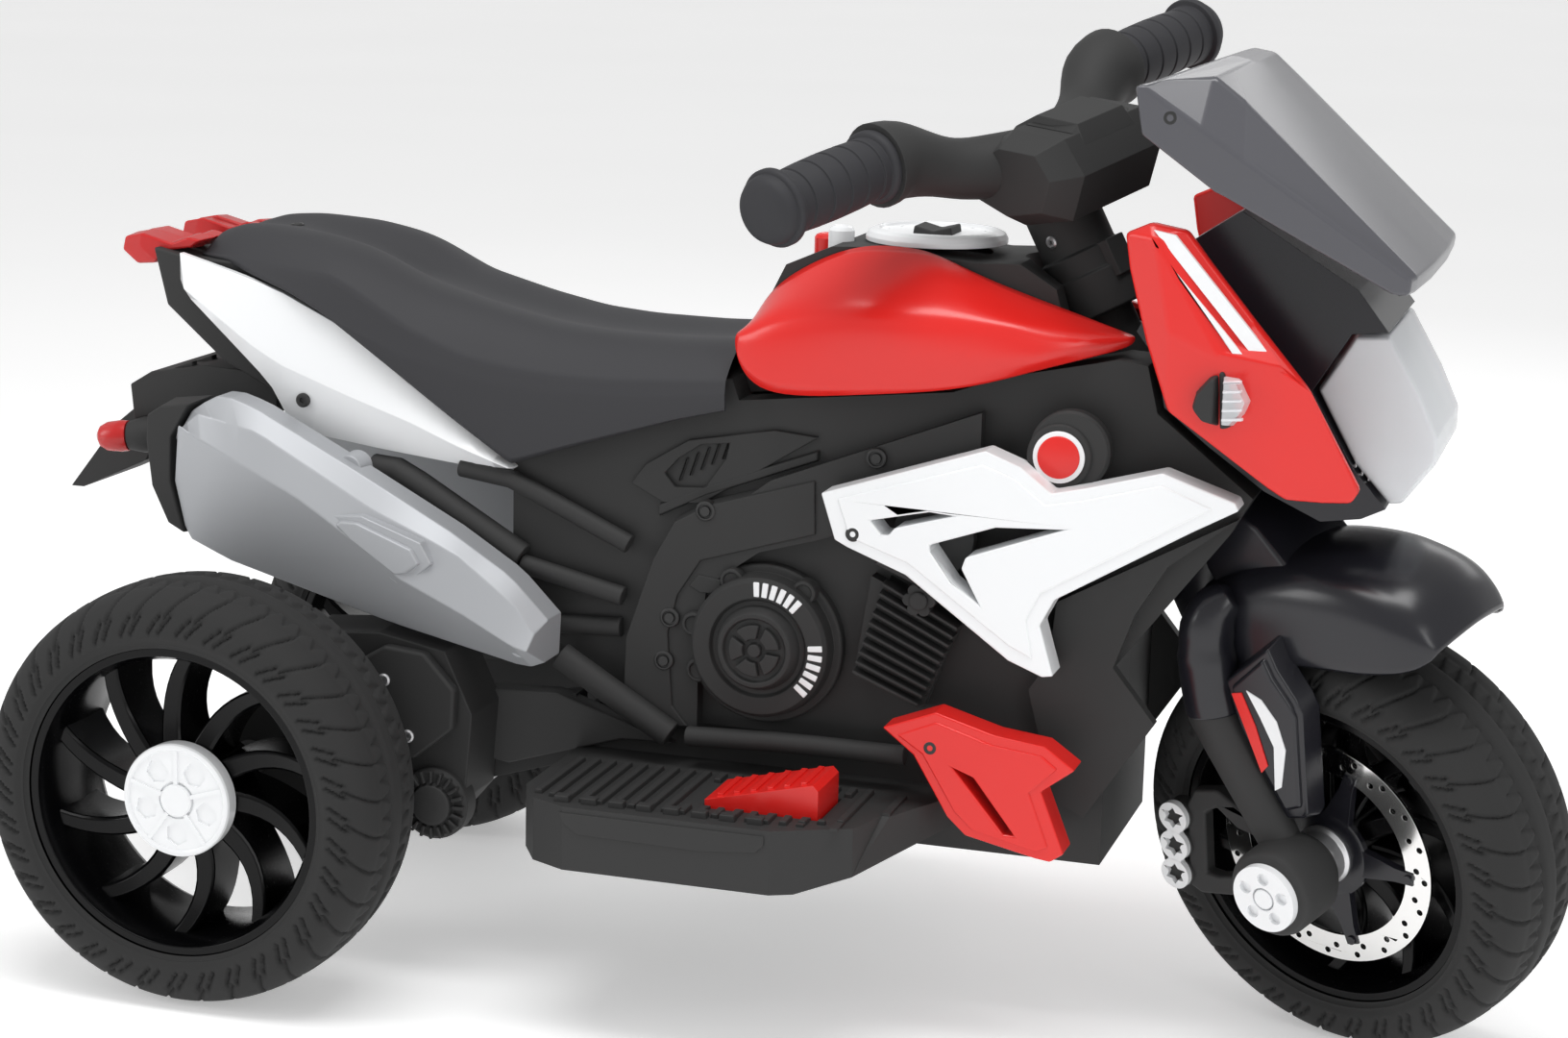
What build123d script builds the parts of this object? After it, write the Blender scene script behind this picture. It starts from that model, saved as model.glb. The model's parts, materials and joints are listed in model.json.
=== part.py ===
from build123d import *
import os
from math import cos, radians, sin

# A battery ride-on motorcycle with two rear wheels and one steered front wheel.
# Lengths are in millimetres. The model is drawn with X forward from the rear axle,
# Y to the rider's left and Z up from the ground, and is moved on export so that
# the middle of its footprint is at X = 0.

# ---- driving dimensions ------------------------------------------------------
WHEELBASE = 598.0
WHEEL_R = 115.0
TRACK_HALF = 162.0
TYRE_HALF_W = 39.0
BEAD_R = 88.0
RIM_HALF_W = 34.0
RIM_WALL = 5.0
HUB_R = 22.0
SPOKES = 10
AXLE_R = 5.0
RUN_GAP = 0.05
CAP_R = 31.0
CAP_REACH = 30.0
HUB_HALF = 28.0
SPOKE_HALF = 20.0
NUT_T = 3.5
RIDE_HEIGHT_FRONT = 115.6

RAKE = 27.2
TRAIL_OFFSET = 13.4
STEER_REST = 28.0
BAR_HALF = 187.0
BAR_X = 382.7
BAR_Z = 479.3
GRIP_R = 15.5

STEM_R = 14.0
STEM_CLEAR = 27.0
CROWN_R = 30.0

BODY_HALF = 62.0
SEAT_HALF = 75.0
WALL = 3.0
FOOT_HALF = 170.0
TREAD_Z = 130.0
TRAY_Z = 96.0
TRAY_HALF = 60.0
LENS_HALF = 55.0
MID_LENGTH = 280.1
ROCKER_Z = 413.2

STEER_DIR = Vector(-sin(radians(RAKE)), 0, cos(radians(RAKE)))
STEER_FOOT = Vector(WHEELBASE - TRAIL_OFFSET, 0, RIDE_HEIGHT_FRONT)
STEER_AXIS = Axis(STEER_FOOT, STEER_DIR)

nodes = {}


# ---- helpers -----------------------------------------------------------------
def face_xz(points, y):
    """Flat face in the plane at Y from (x, z) corners."""
    return make_face(Polyline(*[(x, y, z) for x, z in points], close=True))


def slab(points, y_in, y_out):
    """Prism with a side outline between two Y planes."""
    return extrude(face_xz(points, y_in), amount=y_out - y_in, dir=(0, 1, 0))


def wedge(inner, y_in, outer, y_out):
    """Ruled solid between two side outlines with as many corners each."""
    return loft([face_xz(inner, y_in), face_xz(outer, y_out)], ruled=True)


def disc(x, z, radius, y_in, y_out):
    """Round solid with its axis along Y."""
    mid = (y_in + y_out) / 2
    return Pos(x, mid, z) * Rot(X=90) * Cylinder(radius, abs(y_out - y_in))


def disc_z(x, y, radius, z_low, z_high):
    """Round solid standing along Z."""
    return Pos(x, y, (z_low + z_high) / 2) * Cylinder(radius, z_high - z_low)


def rod(start, end, radius):
    """Round bar between two points."""
    a, b = Vector(*start), Vector(*end)
    return Solid.make_cylinder(radius, (b - a).length, Plane(origin=a, z_dir=b - a))


def block(x0, x1, y0, y1, z0, z1):
    """Square block from its low and high corners."""
    size = Box(x1 - x0, y1 - y0, z1 - z0)
    return Pos((x0 + x1) / 2, (y0 + y1) / 2, (z0 + z1) / 2) * size


def at_axis(distance):
    """Point on the steering axis this far above the axle height."""
    return STEER_FOOT + STEER_DIR * distance


def flip(shape):
    """The same shape on the other side of the centre plane."""
    return mirror(shape, about=Plane.XZ)


def both(shape):
    """The left shape and its right-hand twin."""
    return [shape, flip(shape)]


def steered(shape):
    """Turn a straight-ahead shape to the rest position of the steering."""
    return shape.rotate(STEER_AXIS, -STEER_REST)


def ring_of(shape, count, axis):
    """Copies of a shape turned evenly around an axis."""
    return [shape.rotate(axis, 360 * i / count) for i in range(count)]


def keep(name, shape):
    """Record a node from one solid or a list of separate solids."""
    nodes[name] = shape


def keep_pair(name, shape):
    """Record a left shape and its twin as two nodes."""
    keep(name + "_left", shape)
    keep(name + "_right", flip(shape))


# ---- seat and tail -----------------------------------------------------------
SEAT_TOP = [(-57, 388), (-46, 399), (-12, 399), (16, 392), (40, 384), (75, 371), (104, 364),
            (139, 356), (173, 352), (207, 351), (262, 354)]
SEAT_BASE = [(262, 341), (139, 341), (60, 356), (-14, 384), (-56, 384)]
SEAT_HEM = [(262, 326), (234, 317), (180, 299), (141, 285), (99, 311), (76, 328), (39, 352),
            (-6, 370), (-32, 382)]


def seat():
    """One-piece saddle with side flanges that hang over the body."""
    top = slab(SEAT_TOP + SEAT_BASE, -SEAT_HALF, SEAT_HALF)
    flange = slab(SEAT_HEM + list(reversed(SEAT_BASE)), BODY_HALF + 0.3, SEAT_HALF)
    saddle = top + flange + flip(flange)
    plan = make_face(Polyline((-57, -44, 0), (-30, -60, 0), (40, -SEAT_HALF, 0), (262, -SEAT_HALF, 0),
                              (262, SEAT_HALF, 0), (40, SEAT_HALF, 0), (-30, 60, 0), (-57, 44, 0),
                              close=True))
    return saddle & extrude(plan, amount=450)


TAIL_SIDE = [(-80, 389), (-57, 384), (-14, 383.7), (60, 355.7), (138, 340.7), (138, 287), (6, 294),
             (-2, 311), (-38, 328), (-72, 357)]
TAIL_HALF = 58.0


def tail_shell():
    """Black carrier below the rear of the seat, hollow and open at the front."""
    shell = slab(TAIL_SIDE, -TAIL_HALF, TAIL_HALF)
    core = [(-64, 378), (-15, 378), (58, 351), (139, 336), (139, 292), (8, 298), (2, 314), (-34, 333)]
    return shell - slab(core, WALL - TAIL_HALF, TAIL_HALF - WALL)


def tail_panel():
    """White side panel with a raised crease along its length."""
    rim = [(-59, 385), (-50, 379), (-22, 369), (30, 350), (73, 326), (136, 283), (65, 286), (10, 294.5),
           (2, 312), (-22, 344), (-57, 374)]
    crest = [(-55, 381), (-48, 376), (-22, 365), (28, 345), (70, 322), (120, 291), (65, 290), (14, 299),
             (6, 316), (-20, 347), (-53, 373)]
    return wedge(rim, 58.3, crest, 66.0)


def tail_lamp():
    """Red lamp with two fins that stand up behind the seat."""
    fin = slab([(-98, 394), (-92, 382), (-81, 377), (-81, 390), (-62, 389), (-62, 395)], 22, 52)
    bridge = slab([(-90, 378), (-81, 372), (-81, 389.5), (-88, 386)], -22, 22)
    return fin + flip(fin) + bridge


def rear_fender():
    """Ribbed cover over the axle with a plate flap that hangs behind it."""
    arch = slab([(-84, 318), (-50, 324), (-6, 322), (-6, 300), (-60, 300), (-95, 290), (-97, 310)], -56, 56)
    ribs = [slab([(-95, 311), (-60, 325), (-60, 321), (-95, 307)], y, y + 6) for y in (-52, -28, 22, 46)]
    flap = slab([(-97, 300), (-119, 282), (-149, 243), (-141, 243), (-100, 262), (-86, 290)], -34, 34)
    cover = arch + flap
    for rib in ribs:
        cover = cover + rib
    return cover - slab(TAIL_SIDE, -60, 60)


def tear_drop(x, z, y_in, y_out, length, height):
    """Pod with a pointed front and a round back, seen from the side."""
    nose = (x + length / 2, z)
    pod = [(x - length / 2, z), (x - length / 3, z + height / 2), (x, z + height / 2), nose,
           (x, z - height / 2), (x - length / 3, z - height / 2)]
    return slab(pod, y_in, y_out)


def indicators():
    """Pods and lenses of the two rear and two front turn lamps."""
    rear_pod = tear_drop(-88, 282, 56.2, 74, 34, 18)
    rear_lens = tear_drop(-110, 282, 58, 72, 10, 14)
    front_pod = tear_drop(528, 349, 96.3, 108, 34, 20)
    front_lens = tear_drop(530, 350, 108, 114, 24, 14)
    keep("indicator_pods", both(rear_pod) + both(front_pod))
    keep("indicator_lenses", both(rear_lens) + both(front_lens))


def seat_and_tail():
    keep("seat", seat())
    keep("tail_shell", tail_shell())
    keep("tail_panels", both(tail_panel()))
    keep("tail_lamp", tail_lamp())
    keep("rear_fender", rear_fender())
    indicators()


# ---- exhausts ----------------------------------------------------------------
def exhausts():
    """Faceted silencers with end caps, one on each side."""
    rim = [(-45, 290), (-35, 307), (-21, 315), (2, 310), (62, 280), (118, 251), (152, 230), (173, 208),
           (172, 186), (162, 182), (84, 199), (-13, 225), (-39, 236), (-46, 265)]
    crest = [(-45, 285), (-36, 298), (-22, 304), (2, 298), (60, 268), (116, 240), (148, 221), (165, 205),
             (165, 194), (158, 190), (84, 210), (-13, 238), (-37, 246), (-45, 264)]
    body = wedge(rim, 84, crest, 118) + wedge(rim, 84, crest, 78)
    cap_in = [(-46, 288), (-36, 306), (-60, 309), (-63, 301), (-62, 266), (-51, 243), (-40, 237), (-47, 264)]
    cap = slab(cap_in, 80, 110)
    keep("exhausts", both(body))
    keep("exhaust_caps", both(cap - body))


# ---- body --------------------------------------------------------------------
BODY_SIDE = [(138.3, 340), (262, 340), (266, 329), (318, 335), (382, 342), (409, 352), (468, 365),
             (483, 363), (489, 339), (512, 321), (540, 299), (529, 279), (500, 240), (470, 200),
             (470, 150), (205, 150), (185, 176), (138.3, 205)]
BODY_CORE = [(141.5, 337), (259, 337), (264, 325), (318, 331), (384, 338), (411, 348), (466, 360),
             (479, 359), (485, 337), (509, 318), (534, 299), (526, 281), (497, 242), (467, 202),
             (467, 153), (206.5, 153), (187, 178.5), (141.5, 207)]
SPAR = [(236, 150.5), (208, 177), (213, 209), (228, 243), (287, 289), (400, 334), (400, 306),
        (319, 261), (282, 250), (253, 229), (249, 186), (249, 150.5)]


SHROUD = [(534, 289), (443, 238), (440, 205), (430, 190), (446, 132), (462, 124), (497, 178), (474, 206),
          (484, 235), (500, 262)]
CYLINDER = [(344, 243), (392, 222), (374, 174), (336, 190)]
BOSS = (444, 318)
BOSS_R = 17.0


def body_shell():
    """One half of the hollow body, open below, with what is moulded on its side."""
    shell = slab(BODY_SIDE, 0, BODY_HALF) - slab(BODY_CORE, 0, BODY_HALF - WALL)
    shell = shell - block(210, 466, -1, BODY_HALF - WALL, 149, 156)
    shell = shell - rod(at_axis(100), at_axis(180), CROWN_R + 4)
    headstock = rod(at_axis(185), at_axis(262), STEM_CLEAR + 4) & block(400, 600, 0, 60, 200, 400)
    side = slab(SPAR, BODY_HALF, BODY_HALF + 9)
    side = side + slab(SHROUD, BODY_HALF, BODY_HALF + 8)
    side = side + slab(CYLINDER, BODY_HALF, BODY_HALF + 9)
    side = side + disc(*BOSS, BOSS_R, BODY_HALF, BODY_HALF + 15)
    return shell + side + headstock - rod(at_axis(150), at_axis(400), STEM_CLEAR)


def steering_bushes():
    """Two plain bearings for the column, pressed into the headstock."""
    out = []
    for low in (186, 250):
        ring = rod(at_axis(low), at_axis(low + 11), STEM_CLEAR)
        out.append(ring - rod(at_axis(low), at_axis(low + 11), STEM_R + RUN_GAP))
    return out


def clutch_cover():
    """Round stepped cover of the engine."""
    return disc(287, 200, 36, BODY_HALF, 80) + disc(287, 200, 23, 80, 86)


def side_fairing():
    """White side cover with two V-shaped slots, standing off the body."""
    side = [(322, 290), (336, 263), (399, 233), (431, 210), (455, 204), (444, 237), (448, 243),
            (515, 286), (536, 299), (499, 316), (446, 297), (433, 308), (408, 319)]
    upper_slot = [(349, 273), (354, 280), (389, 283), (362, 276)]
    lower_slot = [(374, 268), (450, 283), (405, 264), (416, 238), (392, 252)]
    cover = slab(side, 71.3, 96)
    pocket = offset(face_xz(side, 71.3), amount=-WALL, kind=Kind.INTERSECTION)
    cover = cover - extrude(pocket, amount=96 - WALL - 71.3, dir=(0, 1, 0))
    cover = cover - slab(upper_slot, 60, 100) - slab(lower_slot, 60, 100)
    return cover - disc(*BOSS, BOSS_R + 0.5, 60, 80)


def belly_fairing():
    """Red lower cover with a long slot, beside the tray."""
    side = [(362, 171), (392, 184), (465, 160), (448, 148), (461, 113), (458, 111), (437, 118),
            (401, 140)]
    pocket = [(370, 168.5), (392, 178), (456, 158), (443, 149), (453, 119), (439, 122), (404, 143)]
    slot = [(397, 160), (407, 158), (431, 131), (426, 132)]
    return slab(side, 84, 108) - slab(pocket, 83, 108 - WALL) - slab(slot, 80, 110)


def body():
    keep_pair("body_shell", body_shell())
    keep("steering_bushes", steering_bushes())
    keep("clutch_covers", both(clutch_cover()))
    keep("side_fairings", both(side_fairing()))
    keep("belly_fairings", both(belly_fairing()))


# ---- tank --------------------------------------------------------------------
TANK_BASE = [(266, 330), (318, 336), (382, 343), (409, 353), (468, 366)]


def tank_cover():
    """Red side of the tank, swelling outwards to a crease."""
    rim_top = [(474, 377), (437, 392), (403, 402), (366, 413), (340, 417), (328, 412), (296, 393),
               (266, 366)]
    crest_top = [(466, 374), (434, 379), (403, 384), (366, 386), (341, 387), (328, 384), (299, 375),
                 (277, 362)]
    crest_base = [(277, 340), (318, 345), (382, 352), (409, 360), (460, 370)]
    inner = wedge(TANK_BASE + rim_top, 42.3, TANK_BASE + rim_top, 60)
    return inner + wedge(TANK_BASE + rim_top, 60, crest_base + crest_top, 86)


def tank_top():
    """Black insert between the two tank covers."""
    top = [(430, 396), (410, 408), (387, 407), (330, 412), (309, 411), (284, 400), (262.3, 356)]
    insert = slab([(262.3, 340.3), (266, 330.3), (318, 336), (382, 343), (409, 353), (440, 360)] + top,
                  -42, 42)
    holes = disc_z(355, 0, 30, 405, 420) + disc_z(306, -14, 7.5, 395, 430) + disc_z(290, 14, 7.5, 388, 430)
    well = rod(at_axis(150), at_axis(400), STEM_CLEAR)
    return insert - holes - well


def tank_cap():
    """White round dial with a window for the direction rocker."""
    cap = disc_z(355, 0, 38, 412.3, 419) + disc_z(355, 0, 29.7, 406, 412.3)
    cap = fillet(cap.edges().group_by(Axis.Z)[-1], 3)
    return cap - block(344, 366, -12, 12, 409, 425) - disc(355, ROCKER_Z, 2 + RUN_GAP, -14.2, 14.2)


def controls():
    """Dial, direction rocker and the two push buttons on the tank."""
    keep("tank_cap", tank_cap())
    rocker = slab([(345, 417), (345, 413), (365, 413), (365, 417), (364, 421), (355, 418), (346, 421)],
                  -11.6, 11.6)
    pivot = disc(355, ROCKER_Z, 2, -14, 14)
    keep("direction_switch", rocker + pivot)
    keep("power_button", disc_z(306, -14, 7, 404, 419))
    keep("horn_button", disc_z(290, 14, 7, 398, 411))


def tank():
    keep("tank_covers", both(tank_cover()))
    keep("tank_top", tank_top())
    controls()


# ---- chassis -----------------------------------------------------------------
PEDAL_X = 278.0
PEDAL_Y = -124.0
PEDAL_W = 38.0
PEDAL_L = 61.0
PEDAL_PIN_Z = TREAD_Z - 5.5


def foot_plan(y_in):
    """Plan outline of one footboard, its outer corners cut round."""
    return [(178, y_in), (178, 140), (190, 160), (210, FOOT_HALF), (322, FOOT_HALF), (360, 150),
            (402, y_in)]


def footboard():
    """Board for one foot with a ribbed tread in a shallow recess."""
    outline = make_face(Polyline(*[(x, y, 0) for x, y in foot_plan(TRAY_HALF)], close=True))
    board = Pos(0, 0, TRAY_Z) * extrude(outline, amount=TREAD_Z - TRAY_Z)
    cut = slab([(330, TRAY_Z - 1), (440, TRAY_Z - 1), (440, 128)], 60, 180)
    board = board - cut
    ribs = [block(206 + 18 * i, 210 + 18 * i, 90, 158, TREAD_Z, TREAD_Z + 1.5) for i in range(10)]
    return board, ribs


def chassis_tray():
    """Lower chassis: battery tray, two footboards and the belly in front."""
    tray = block(178, 470, -TRAY_HALF, TRAY_HALF, TRAY_Z, 149.7)
    tray = tray - block(182, 440, 5 - TRAY_HALF, TRAY_HALF - 5, TRAY_Z + 4, 151)
    board, ribs = footboard()
    tray = tray + board + flip(board)
    for rib in ribs:
        tray = tray + flip(rib) + rib
    pit = block(PEDAL_X - 1.5, PEDAL_X + PEDAL_L + 1.5, PEDAL_Y - PEDAL_W / 2 - 1.5,
                PEDAL_Y + PEDAL_W / 2 + 1.5, TREAD_Z - 16, TREAD_Z + 5)
    return tray - pit - pedal_pin()


def pedal_pin():
    """Steel pin across the pit, its ends held in the tray."""
    return rod((PEDAL_X + 5, PEDAL_Y - 24, PEDAL_PIN_Z), (PEDAL_X + 5, PEDAL_Y + 24, PEDAL_PIN_Z), 2)


def throttle_pedal():
    """Ribbed wedge that hinges on a pin at its rear edge."""
    y0, y1 = PEDAL_Y - PEDAL_W / 2, PEDAL_Y + PEDAL_W / 2
    side = [(PEDAL_X + 1, 121.5), (PEDAL_X, 134), (PEDAL_X + PEDAL_L - 3, 148), (PEDAL_X + PEDAL_L, 145),
            (PEDAL_X + PEDAL_L, 126), (PEDAL_X + 20, 122)]
    pedal = slab(side, y0, y1)
    slope = (148 - 134) / (PEDAL_L - 3)
    for i in range(6):
        x = PEDAL_X + 6 + 9 * i
        z = 134 + slope * (x - PEDAL_X)
        pedal = pedal + block(x, x + 3, y0 + 3, y1 - 3, z - 1, z + 1.8)
    bore = rod((PEDAL_X + 5, y0 - 1, PEDAL_PIN_Z), (PEDAL_X + 5, y1 + 1, PEDAL_PIN_Z), 2 + RUN_GAP)
    return pedal - bore


def pedal_spring():
    """Coil spring under the front of the pedal, drawn as its outer sleeve."""
    x = PEDAL_X + PEDAL_L - 14
    return Pos(x, PEDAL_Y, 118.9) * (Cylinder(6, 9.8) - Cylinder(4.4, 9.8))


def swing_arms():
    """Beams from the body to the rear axle, on both sides."""
    side = [(-18, 101), (-18, 130), (114, 147), (176, 159), (176, 121), (114, 102)]
    hole = disc(0, WHEEL_R, AXLE_R, 40, 70)
    return both(slab(side, 44, BODY_HALF) - hole)


def frame_tubes():
    """Side tubes behind the seat and along the footboards."""
    upper = rod((70, 69.3, 277), (203, 69.3, 245), 7)
    lower = rod((177, 79, 181), (232, 79, 149), 7)
    floor = rod((252, 78, 142), (358, 78, 142), 6)
    return both(upper) + both(lower) + both(floor)


def gearbox():
    """Drive gearbox beside the right wheel with its motor behind it."""
    side = [(-16, 96), (-20, 118), (-8, 140), (30, 190), (77, 194), (116, 187), (132, 153), (128, 105),
            (112, 86), (95, 88), (40, 88)]
    case = flip(slab(side, 62.3, 104)) - disc(0, WHEEL_R, AXLE_R, -120, -50)
    lid = [(60, 150), (66, 178), (84, 189), (107, 187), (125, 168), (124, 146), (101, 127), (74, 130)]
    keep("gearbox_case", case)
    keep("gearbox_cover", flip(slab(lid, 104, 112)))
    keep("drive_motor", flip(disc(104, 108, 17, 0, 43.7)))


def inside_parts():
    """Battery, control box and speaker in the tray and body."""
    keep("battery", block(214, 284, -48, 48, TRAY_Z + 4, 200))
    keep("control_box", block(300, 360, -35, 35, TRAY_Z + 4, 130))
    keep("speaker", disc(410, 270, 20, 20, 40))


def chassis():
    keep("chassis_tray", chassis_tray())
    keep("throttle_pedal", throttle_pedal())
    keep("pedal_spring", pedal_spring())
    keep("pedal_pin", pedal_pin())
    keep("swing_arms", swing_arms())
    keep("frame_tubes", frame_tubes())
    gearbox()
    inside_parts()


# ---- nose, fixed to the body -------------------------------------------------
def front_cowl():
    """Red cowl panel beside the headlight."""
    rim = [(475, 428), (488, 439), (500, 436), (512, 425), (560, 372), (574, 356), (594, 315),
           (590, 308), (562, 307), (552, 312), (502, 346), (491, 379)]
    return slab(rim, 84, 96)


def nose():
    """Headlight housing, lens, cowls, windshield and its bracket."""
    housing = [(498, 425), (526, 444), (586, 408), (602, 388), (584, 386), (566, 356), (589, 318),
               (606, 299), (594, 293), (574, 290), (545, 303), (515, 324), (492, 342), (487, 366),
               (476, 380)]
    shell = slab(housing, -60, 60) - slab(BODY_SIDE, -BODY_HALF, BODY_HALF)
    gap = rod(at_axis(150), at_axis(420), STEM_CLEAR + 4.5)
    arm = slab([(505, 360), (560, 350), (560, 340), (505, 345)], 60, 84)
    keep("headlight_housing", shell - gap + arm + flip(arm))
    lens = slab([(584.5, 385.7), (602.3, 387.7), (619, 357), (629, 336), (629, 323), (613, 301),
                 (606.2, 299.2), (589.4, 318.4), (566.6, 356.2)], -LENS_HALF, LENS_HALF)
    keep("headlight_lens", lens)
    keep("front_cowls", both(front_cowl()))


def windshield():
    """Smoked screen folded along its middle, leaning back over the nose."""
    low = [(519, 457), (524, 455), (607, 413), (615, 413), (616, 421), (482, 507), (478, 507), (482, 483)]
    mid = [(552, 476), (558, 472), (612, 412), (620, 412), (621, 421), (522, 519), (516, 519), (526, 497)]
    side = wedge(mid, 30, low, 108)
    return side + flip(side) + slab(mid, -30, 30)


# ---- steering ----------------------------------------------------------------
def stem():
    """Steering column with its collar, turning in the body."""
    tube = rod(at_axis(172), at_axis(405), STEM_R)
    sleeve = rod(at_axis(298), at_axis(372), 22)
    collar = rod(at_axis(372), at_axis(384), 26)
    return tube + sleeve + collar


def handlebar():
    """Two-half bar moulding around the head of the column."""
    head = rod(at_axis(384), at_axis(420), 26) - rod(at_axis(384), at_axis(405), STEM_R)
    arm = rod((404, 20, 462), (393, 62, 468), 16)
    bend = rod((393, 62, 468), (BAR_X, 92, BAR_Z), 15)
    flare = rod((BAR_X, 90, BAR_Z), (BAR_X, 100, BAR_Z), 22)
    side = arm + bend + flare
    side = side - stem()
    return head + side + flip(side)


def grip():
    """Ribbed grip with a flanged end."""
    return disc(BAR_X, BAR_Z, GRIP_R, 100, BAR_HALF - 8) + disc(BAR_X, BAR_Z, 20, BAR_HALF - 8, BAR_HALF)


FENDER_SIDE = [(536, 246), (546, 262), (562, 272), (585, 280), (613, 283), (635, 281), (652, 276),
               (668, 266), (673, 257), (669, 243), (656, 240), (645, 237), (623, 233), (600, 231),
               (583, 227), (570, 214), (548, 222)]
FENDER_CORE = [(545, 210), (545, 243), (553, 257), (566, 266), (586, 274), (613, 278), (635, 276),
               (650, 271), (667, 260), (685, 250), (685, 210)]
FENDER_HALF = 47.0


def fork_crown():
    """Fender over the wheel, joined to the crown of the fork."""
    fender = slab(FENDER_SIDE, -FENDER_HALF, FENDER_HALF)
    fender = fender - slab(FENDER_CORE, WALL - FENDER_HALF, FENDER_HALF - WALL)
    crown = rod(at_axis(130), at_axis(172), CROWN_R)
    return fender + (crown - disc(WHEELBASE, RIDE_HEIGHT_FRONT, 124, -60, 60))


def fork_leg():
    """Angular leg from the crown down to the hub boss."""
    side = [(536, 262), (512, 214), (528, 208), (588, 128), (606, 128), (590, 206), (566, 234)]
    leg = slab(side, 47.2, 60)
    boss = disc(WHEELBASE, RIDE_HEIGHT_FRONT, 21, 50, 84)
    return leg + boss - disc(WHEELBASE, RIDE_HEIGHT_FRONT, AXLE_R, 40, 84)


def caliper():
    """Triangular brake bracket behind the leg."""
    side = [(582, 126), (519, 134), (514, 90), (530, 86), (582, 104)]
    window = [(568, 120), (534, 122), (532, 100), (568, 108)]
    return slab(side, 50, 58) - slab(window, 40, 60) - disc(WHEELBASE, RIDE_HEIGHT_FRONT, 21, 40, 60)


def caliper_plate():
    """White plate with three round lobes on the bracket."""
    lobes = [disc(521, z, 9, 58, 60) for z in (93, 110, 127)]
    bar = slab([(517, 93), (525, 93), (525, 127), (517, 127)], 58, 60)
    return bar + lobes[0] + lobes[1] + lobes[2]


def steering():
    keep("steering_stem", steered(stem()))
    keep("handlebar", steered(handlebar()))
    keep("grips", [steered(s) for s in both(grip())])
    keep("fork_crown", steered(fork_crown()))
    keep("fork_legs", [steered(s) for s in both(fork_leg())])
    keep("brake_calipers", [steered(s) for s in both(caliper())])
    keep("caliper_plates", [steered(s) for s in both(caliper_plate())])
    keep("front_axle", steered(disc(WHEELBASE, RIDE_HEIGHT_FRONT, AXLE_R, -84, 84)))
    cap = disc(WHEELBASE, RIDE_HEIGHT_FRONT, 18.3, 84, 88.3)
    keep("front_axle_caps", [steered(s) for s in both(cap)])


# ---- wheels ------------------------------------------------------------------
def tyre():
    """Tyre about the Y axis at the origin, revolved from its section."""
    w, r = TYRE_HALF_W, WHEEL_R
    section = [(-w + 4, BEAD_R - 4), (-w, BEAD_R + 4), (-w + 1, BEAD_R + 12), (-w + 9, r - 5),
               (-w + 22, r - 1), (0, r), (w - 22, r - 1), (w - 9, r - 5), (w - 1, BEAD_R + 12),
               (w, BEAD_R + 4), (w - 4, BEAD_R - 4)]
    face = make_face(Polyline(*[(0, y, z) for y, z in section], close=True))
    return revolve(face, Axis.Y)


def spoke():
    """Curved blade from the hub to the barrel of the rim."""
    inner, outer = HUB_R - 2, BEAD_R - 4 - RIM_WALL
    rows = []
    for side in (1, -1):
        row = []
        for i in range(5):
            t = i / 4
            row.append((inner + (outer - inner) * t, side * (6 - t) - 20 * t * t))
        rows.append(row)
    blade = slab(rows[0] + list(reversed(rows[1])), -SPOKE_HALF, SPOKE_HALF)
    return blade & disc(0, 0, outer + 1, -SPOKE_HALF, SPOKE_HALF)


def rim():
    """Rim barrel, hub and spokes about the Y axis at the origin."""
    outer = BEAD_R - 4.05
    barrel = disc(0, 0, outer, -RIM_HALF_W, RIM_HALF_W)
    barrel = barrel - disc(0, 0, outer - RIM_WALL, -RIM_HALF_W, RIM_HALF_W)
    wheel = barrel + disc(0, 0, HUB_R, -HUB_HALF, HUB_HALF)
    for blade in ring_of(spoke(), SPOKES, Axis.Y):
        wheel = wheel + blade
    pocket = disc(0, 0, 12, SPOKE_HALF, HUB_HALF + 1)
    return wheel - disc(0, 0, AXLE_R + RUN_GAP, -40, 40) - pocket - flip(pocket)


def rear_wheels():
    """Tyre, rim and hub cap on each end of the rear axle."""
    for side, sign in (("left", 1), ("right", -1)):
        place = Pos(0, sign * TRACK_HALF, WHEEL_R)
        keep("rear_tyre_" + side, place * tyre())
        keep("rear_rim_" + side, place * rim())
        cap = disc(0, WHEEL_R, CAP_R, TRACK_HALF + SPOKE_HALF + 0.2, TRACK_HALF + CAP_REACH)
        cap = cap - disc(0, WHEEL_R, HUB_R, TRACK_HALF, TRACK_HALF + HUB_HALF)
        keep("hub_cap_" + side, cap if sign == 1 else flip(cap))
    axle = disc(0, WHEEL_R, AXLE_R, -TRACK_HALF - 25, TRACK_HALF + 25)
    keep("rear_axle", axle)
    bore = disc(0, WHEEL_R, AXLE_R, 60, 200)
    spacer = disc(0, WHEEL_R, 10, 104.3, TRACK_HALF - SPOKE_HALF - 0.5) - bore
    keep("axle_spacers", both(spacer))
    nut_in = TRACK_HALF + SPOKE_HALF + 0.5
    nut = disc(0, WHEEL_R, 9, nut_in, nut_in + NUT_T) - bore
    keep("axle_nuts", both(nut))


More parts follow.
